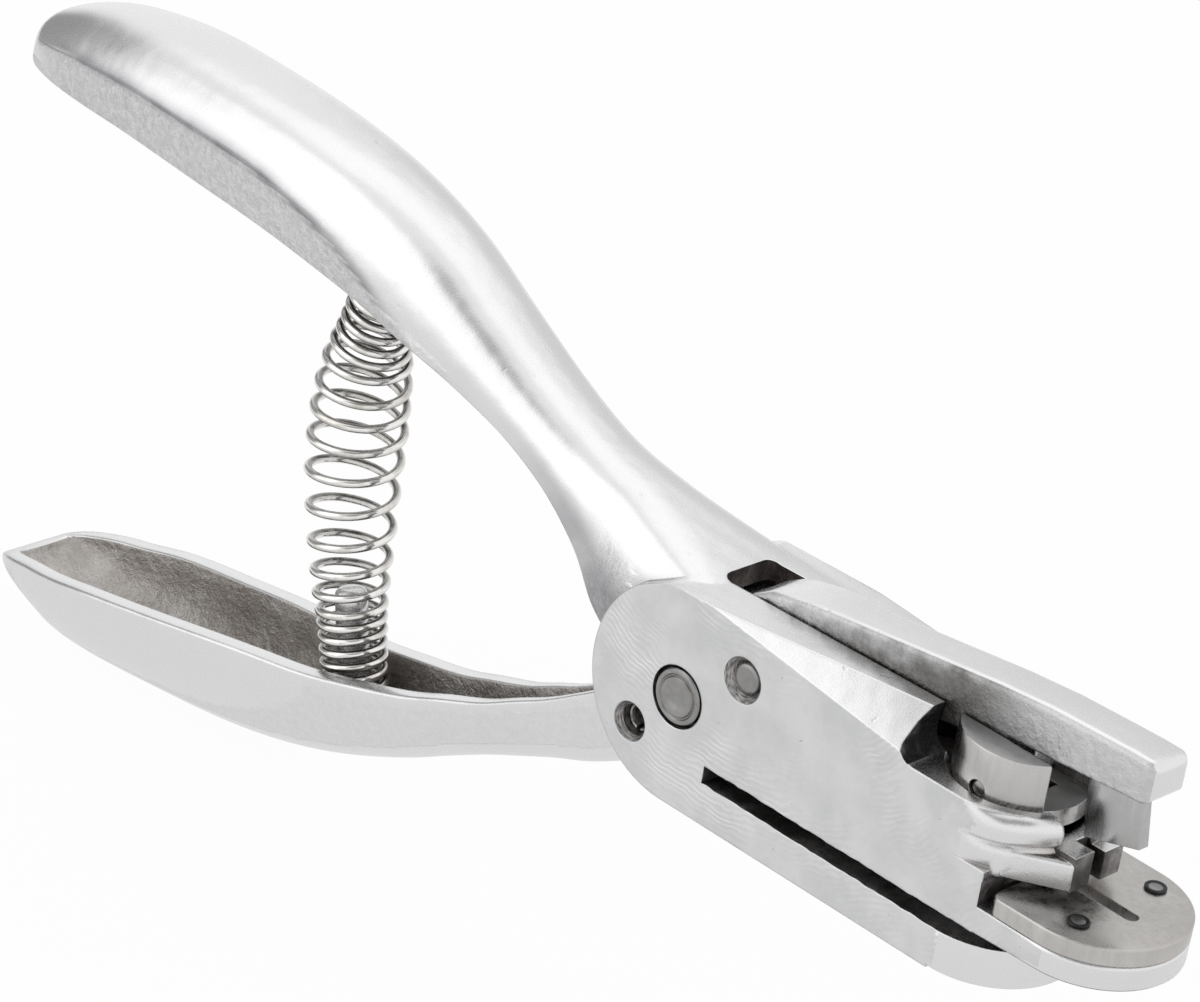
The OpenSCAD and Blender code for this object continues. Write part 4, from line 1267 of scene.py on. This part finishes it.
PLATE_REAR, PLATE_CORNER = 38.7, 1.2
inside_x, inside_y, plate_under = PLATE_REAR + PLATE_CORNER, HALF_W - PLATE_CORNER, PLATE_LOW + 0.05
plan = [(inside_x, -HALF_W)] + arc(LIP_END, 0, HALF_W, -90, 90, 48)
plan += arc(inside_x, inside_y, PLATE_CORNER, 90, 180, 8)
plan += arc(inside_x, -inside_y, PLATE_CORNER, 180, 270, 8)[:-1]
plate_bm = bmesh.new()
upright(plate_bm, plan, plate_under, PLATE_TOP)
soften(plate_bm, lambda e: lower_edge(e, PLATE_TOP) or lower_edge(e, plate_under), 0.16, 3)
plate = scratch(plate_bm)
slot_plan = [(41.3, -0.75)] + arc(48.0, 0, 0.75, -90, 90, 12) + [(41.3, 0.75)]
plate_cuts = [shape((upright, slot_plan, -4, 1))]
for x, y in RIVETS:
    plate_cuts.append(shape((bar, (x, y, -2), 0.93, 0.93, 6, "Z", 48)))
    plate_cuts.append(shape((bar, (x, y, PLATE_TOP), 0.9, 1.1, 0.3, "Z", 48)))
plate_bm = combine(plate, [("DIFFERENCE", t) for t in plate_cuts])
finish_piece(plate_bm, "die_plate_dressed", "frame", ["die_plate"], [PLATE_STEEL])

# %% Die plate rivets and hole die bush
rivets_bm = bmesh.new()
for x, y in RIVETS:
    one = turned([(0, LIP_LOW), (0.9, LIP_LOW), (0.9, PLATE_TOP - 0.1), (1.03, PLATE_TOP + 0.04),
                  (1.05, -0.34), (0.98, -0.27), (0.82, -0.26), (0.72, -0.32), (0.66, -0.36),
                  (0.45, -0.30), (0.2, -0.285), (0, -0.28)], 40)
    bmesh.ops.translate(one, vec=(x, y, 0), verts=one.verts)
    holder = bpy.data.meshes.new("one rivet")
    one.to_mesh(holder)
    one.free()
    rivets_bm.from_mesh(holder)
    bpy.data.meshes.remove(holder)


def crown_face(c, n):
    near = min(sqrt((c.x - x) ** 2 + (c.y - y) ** 2) for x, y in RIVETS)
    return int(near < 0.68 and c.z > -0.45)


finish_piece(rivets_bm, "die_plate_rivets_dressed", "frame", ["die_plate_rivets"],
             [BLACK_STEEL, WORN_STEEL], crown_face)
bush_bm = turned([(3.06, STRIP_TOP), (4.9, STRIP_TOP), (5.0, STRIP_TOP - 0.1), (5.0, STRIP_LOW),
                  (3.8, STRIP_LOW), (3.06, STRIP_LOW + 2)], 72)
ends = [e for e in bush_bm.edges if len(e.link_faces) == 1]
bmesh.ops.bridge_loops(bush_bm, edges=ends)
bmesh.ops.translate(bush_bm, vec=(PUNCH_X, 0, 0), verts=bush_bm.verts)
finish_piece(bush_bm, "hole_die_bush_dressed", "frame", ["hole_die_bush"], [PUNCH_SIDE])

# %% [markdown]
# ## Studio
#
# The photograph is a product picture on pure white. Metal shows its surroundings, so the room
# matters more than the lamps: a white world, two soft lamps, and a few grey cards outside the
# picture that draw the grey bands along the grips. The background is the white of the world.

# %% Camera at the photograph's viewpoint
TARGET = Vector((-12.369972, -9.238422, 14.816337))
TO_CAMERA = Vector((0.582761, -0.677882, 0.44818))
RIGHT = Vector((0.699893, 0.698937, 0.147097))
UP = Vector((-0.412964, 0.227956, 0.881758))
AWAY, LENS = 477.0, 155.979
camera_data = bpy.data.cameras.new("photo camera")
camera_data.sensor_width = 36.0
camera_data.lens = LENS
camera_data.clip_start = 0.01
camera = bpy.data.objects.new("photo camera", camera_data)
bpy.context.scene.collection.objects.link(camera)
turn = Matrix((RIGHT, UP, TO_CAMERA)).transposed().to_4x4()
camera.matrix_world = Matrix.Translation(HOME @ (TARGET + AWAY * TO_CAMERA.normalized())) @ turn
bpy.context.scene.camera = camera
bpy.context.scene.view_settings.view_transform = "Standard"

# %% World: white to look at and to reflect, plain level as light
WORLD_LIGHT = 0.75


def seen_rays(tree, kinds):
    """1 for the kinds of ray that look at the white, 0 for the ones that only light."""
    rays = add(tree, "LightPath")
    share = rays.outputs[kinds[0]]
    for kind in kinds[1:]:
        share = add_math(tree, "MAXIMUM", share, rays.outputs[kind])
    return share


def mix_into(tree, share, plain, seen, output):
    """Mixes two shaders by a share and feeds the output's surface."""
    pick = add(tree, "MixShader", Fac=share)
    tree.links.new(plain, pick.inputs[1])
    tree.links.new(seen, pick.inputs[2])
    tree.links.new(pick.outputs[0], tree.nodes[output].inputs["Surface"])


world = bpy.data.worlds.new("white room")
bpy.context.scene.world = world
world.use_nodes = True
room = world.node_tree
sky = room.nodes["Background"]
sky.inputs["Color"].default_value = (1, 1, 1, 1)
sky.inputs["Strength"].default_value = WORLD_LIGHT
white = add(room, "Background", Color=(1, 1, 1, 1), Strength=1.0)
looks = seen_rays(room, ("Is Camera Ray", "Is Glossy Ray", "Is Transmission Ray"))
mix_into(room, looks, sky.outputs[0], white.outputs[0], "World Output")

# %% Lamps, cards and floor
cad_floor = (BACK @ cad_box[0]).z
MIDDLE = Vector((-40, -5, 12))


def aim(obj, azimuth, height, away, at):
    """Puts a lamp or card at a distance in a direction given in degrees, facing the tool."""
    a, e = radians(azimuth), radians(height)
    out = Vector((cos(e) * cos(a), cos(e) * sin(a), sin(e)))
    obj.location = HOME @ (Vector(at) + out * away)
    obj.rotation_mode = "QUATERNION"
    obj.rotation_quaternion = out.to_track_quat("Z", "Y")


def lamp(name, azimuth, height, away, size, level, at=MIDDLE):
    """Soft lamp whose face shines with the given level above the white of the room."""
    data = bpy.data.lights.new(name, "AREA")
    data.shape = "RECTANGLE"
    data.size, data.size_y = size[0] * 0.001, size[1] * 0.001
    data.energy = level * pi * data.size * data.size_y
    obj = bpy.data.objects.new(name, data)
    bpy.context.scene.collection.objects.link(obj)
    aim(obj, azimuth, height, away, at)
    obj.visible_camera = False


CARD_CORE = 0.5


def card(name, azimuth, height, away, size, grey, at=MIDDLE):
    """Card that only reflections see, grey in the middle and fading to white at its edge."""
    bm = bmesh.new()
    bmesh.ops.create_grid(bm, x_segments=1, y_segments=1, size=0.5)
    bmesh.ops.transform(bm, matrix=Matrix.Diagonal((size[0] * 0.001, size[1] * 0.001, 1, 1)),
                        verts=bm.verts)
    obj = stand(bm, name)
    aim(obj, azimuth, height, away, at)
    obj.visible_camera = False
    obj.visible_diffuse = False
    obj.visible_shadow = False
    coat = bpy.data.materials.new(name)
    coat.use_nodes = True
    tree = coat.node_tree
    place = add(tree, "TexCoord").outputs["Object"]
    scaled = add(tree, "Mapping", Vector=place, Scale=(2000 / size[0], 2000 / size[1], 0))
    reach = add(tree, "VectorMath")
    reach.operation = "LENGTH"
    tree.links.new(scaled.outputs[0], reach.inputs[0])
    glow = add(tree, "Emission",
               Strength=add_ramp(tree, reach.outputs["Value"], CARD_CORE, 1.0, grey, 1.0))
    tree.links.new(glow.outputs[0], tree.nodes["Material Output"].inputs["Surface"])
    obj.data.materials.append(coat)


lamp("near left soft lamp", -122, 25, 430, (440, 560), 0.40)
lamp("upper soft lamp", 120, 64, 430, (460, 330), 0.26)
card("dark card beyond the tips", 182, 4, 330, (440, 600), 0.34)
card("grey card behind", 97, 20, 420, (620, 560), 0.78)
card("dark card at the camera side", -52, 48, 420, (440, 460), 0.38)
card("pale card below", 0, 90, -1, (900, 700), 0.84, (-30, 0, cad_floor + 1.2))

FLOOR_REACH, FLOOR_BELOW, FLOOR_WHITE = 1.5, 0.0003, 0.95
floor_bm = bmesh.new()
bmesh.ops.create_grid(floor_bm, x_segments=1, y_segments=1, size=FLOOR_REACH)
bmesh.ops.translate(floor_bm, vec=(0, 0, cad_box[0].z - FLOOR_BELOW), verts=floor_bm.verts)
floor = stand(floor_bm, "floor")
pale = bpy.data.materials.new("pale floor")
pale.use_nodes = True
ground = pale.node_tree
matt = ground.nodes["Principled BSDF"]
matt.inputs["Base Color"].default_value = (0.9, 0.9, 0.9, 1)
matt.inputs["Roughness"].default_value = 0.8
glow = add(ground, "Emission", Color=(1, 1, 1, 1), Strength=1.0)
looks = seen_rays(ground, ("Is Camera Ray", "Is Glossy Ray"))
looks = add_math(ground, "MULTIPLY", looks, FLOOR_WHITE)
mix_into(ground, looks, matt.outputs[0], glow.outputs[0], "Material Output")
floor.data.materials.append(pale)

# %% Print the CAD box
print("CAD box", [tuple(round(c * 1000, 2) for c in p) for p in cad_box])
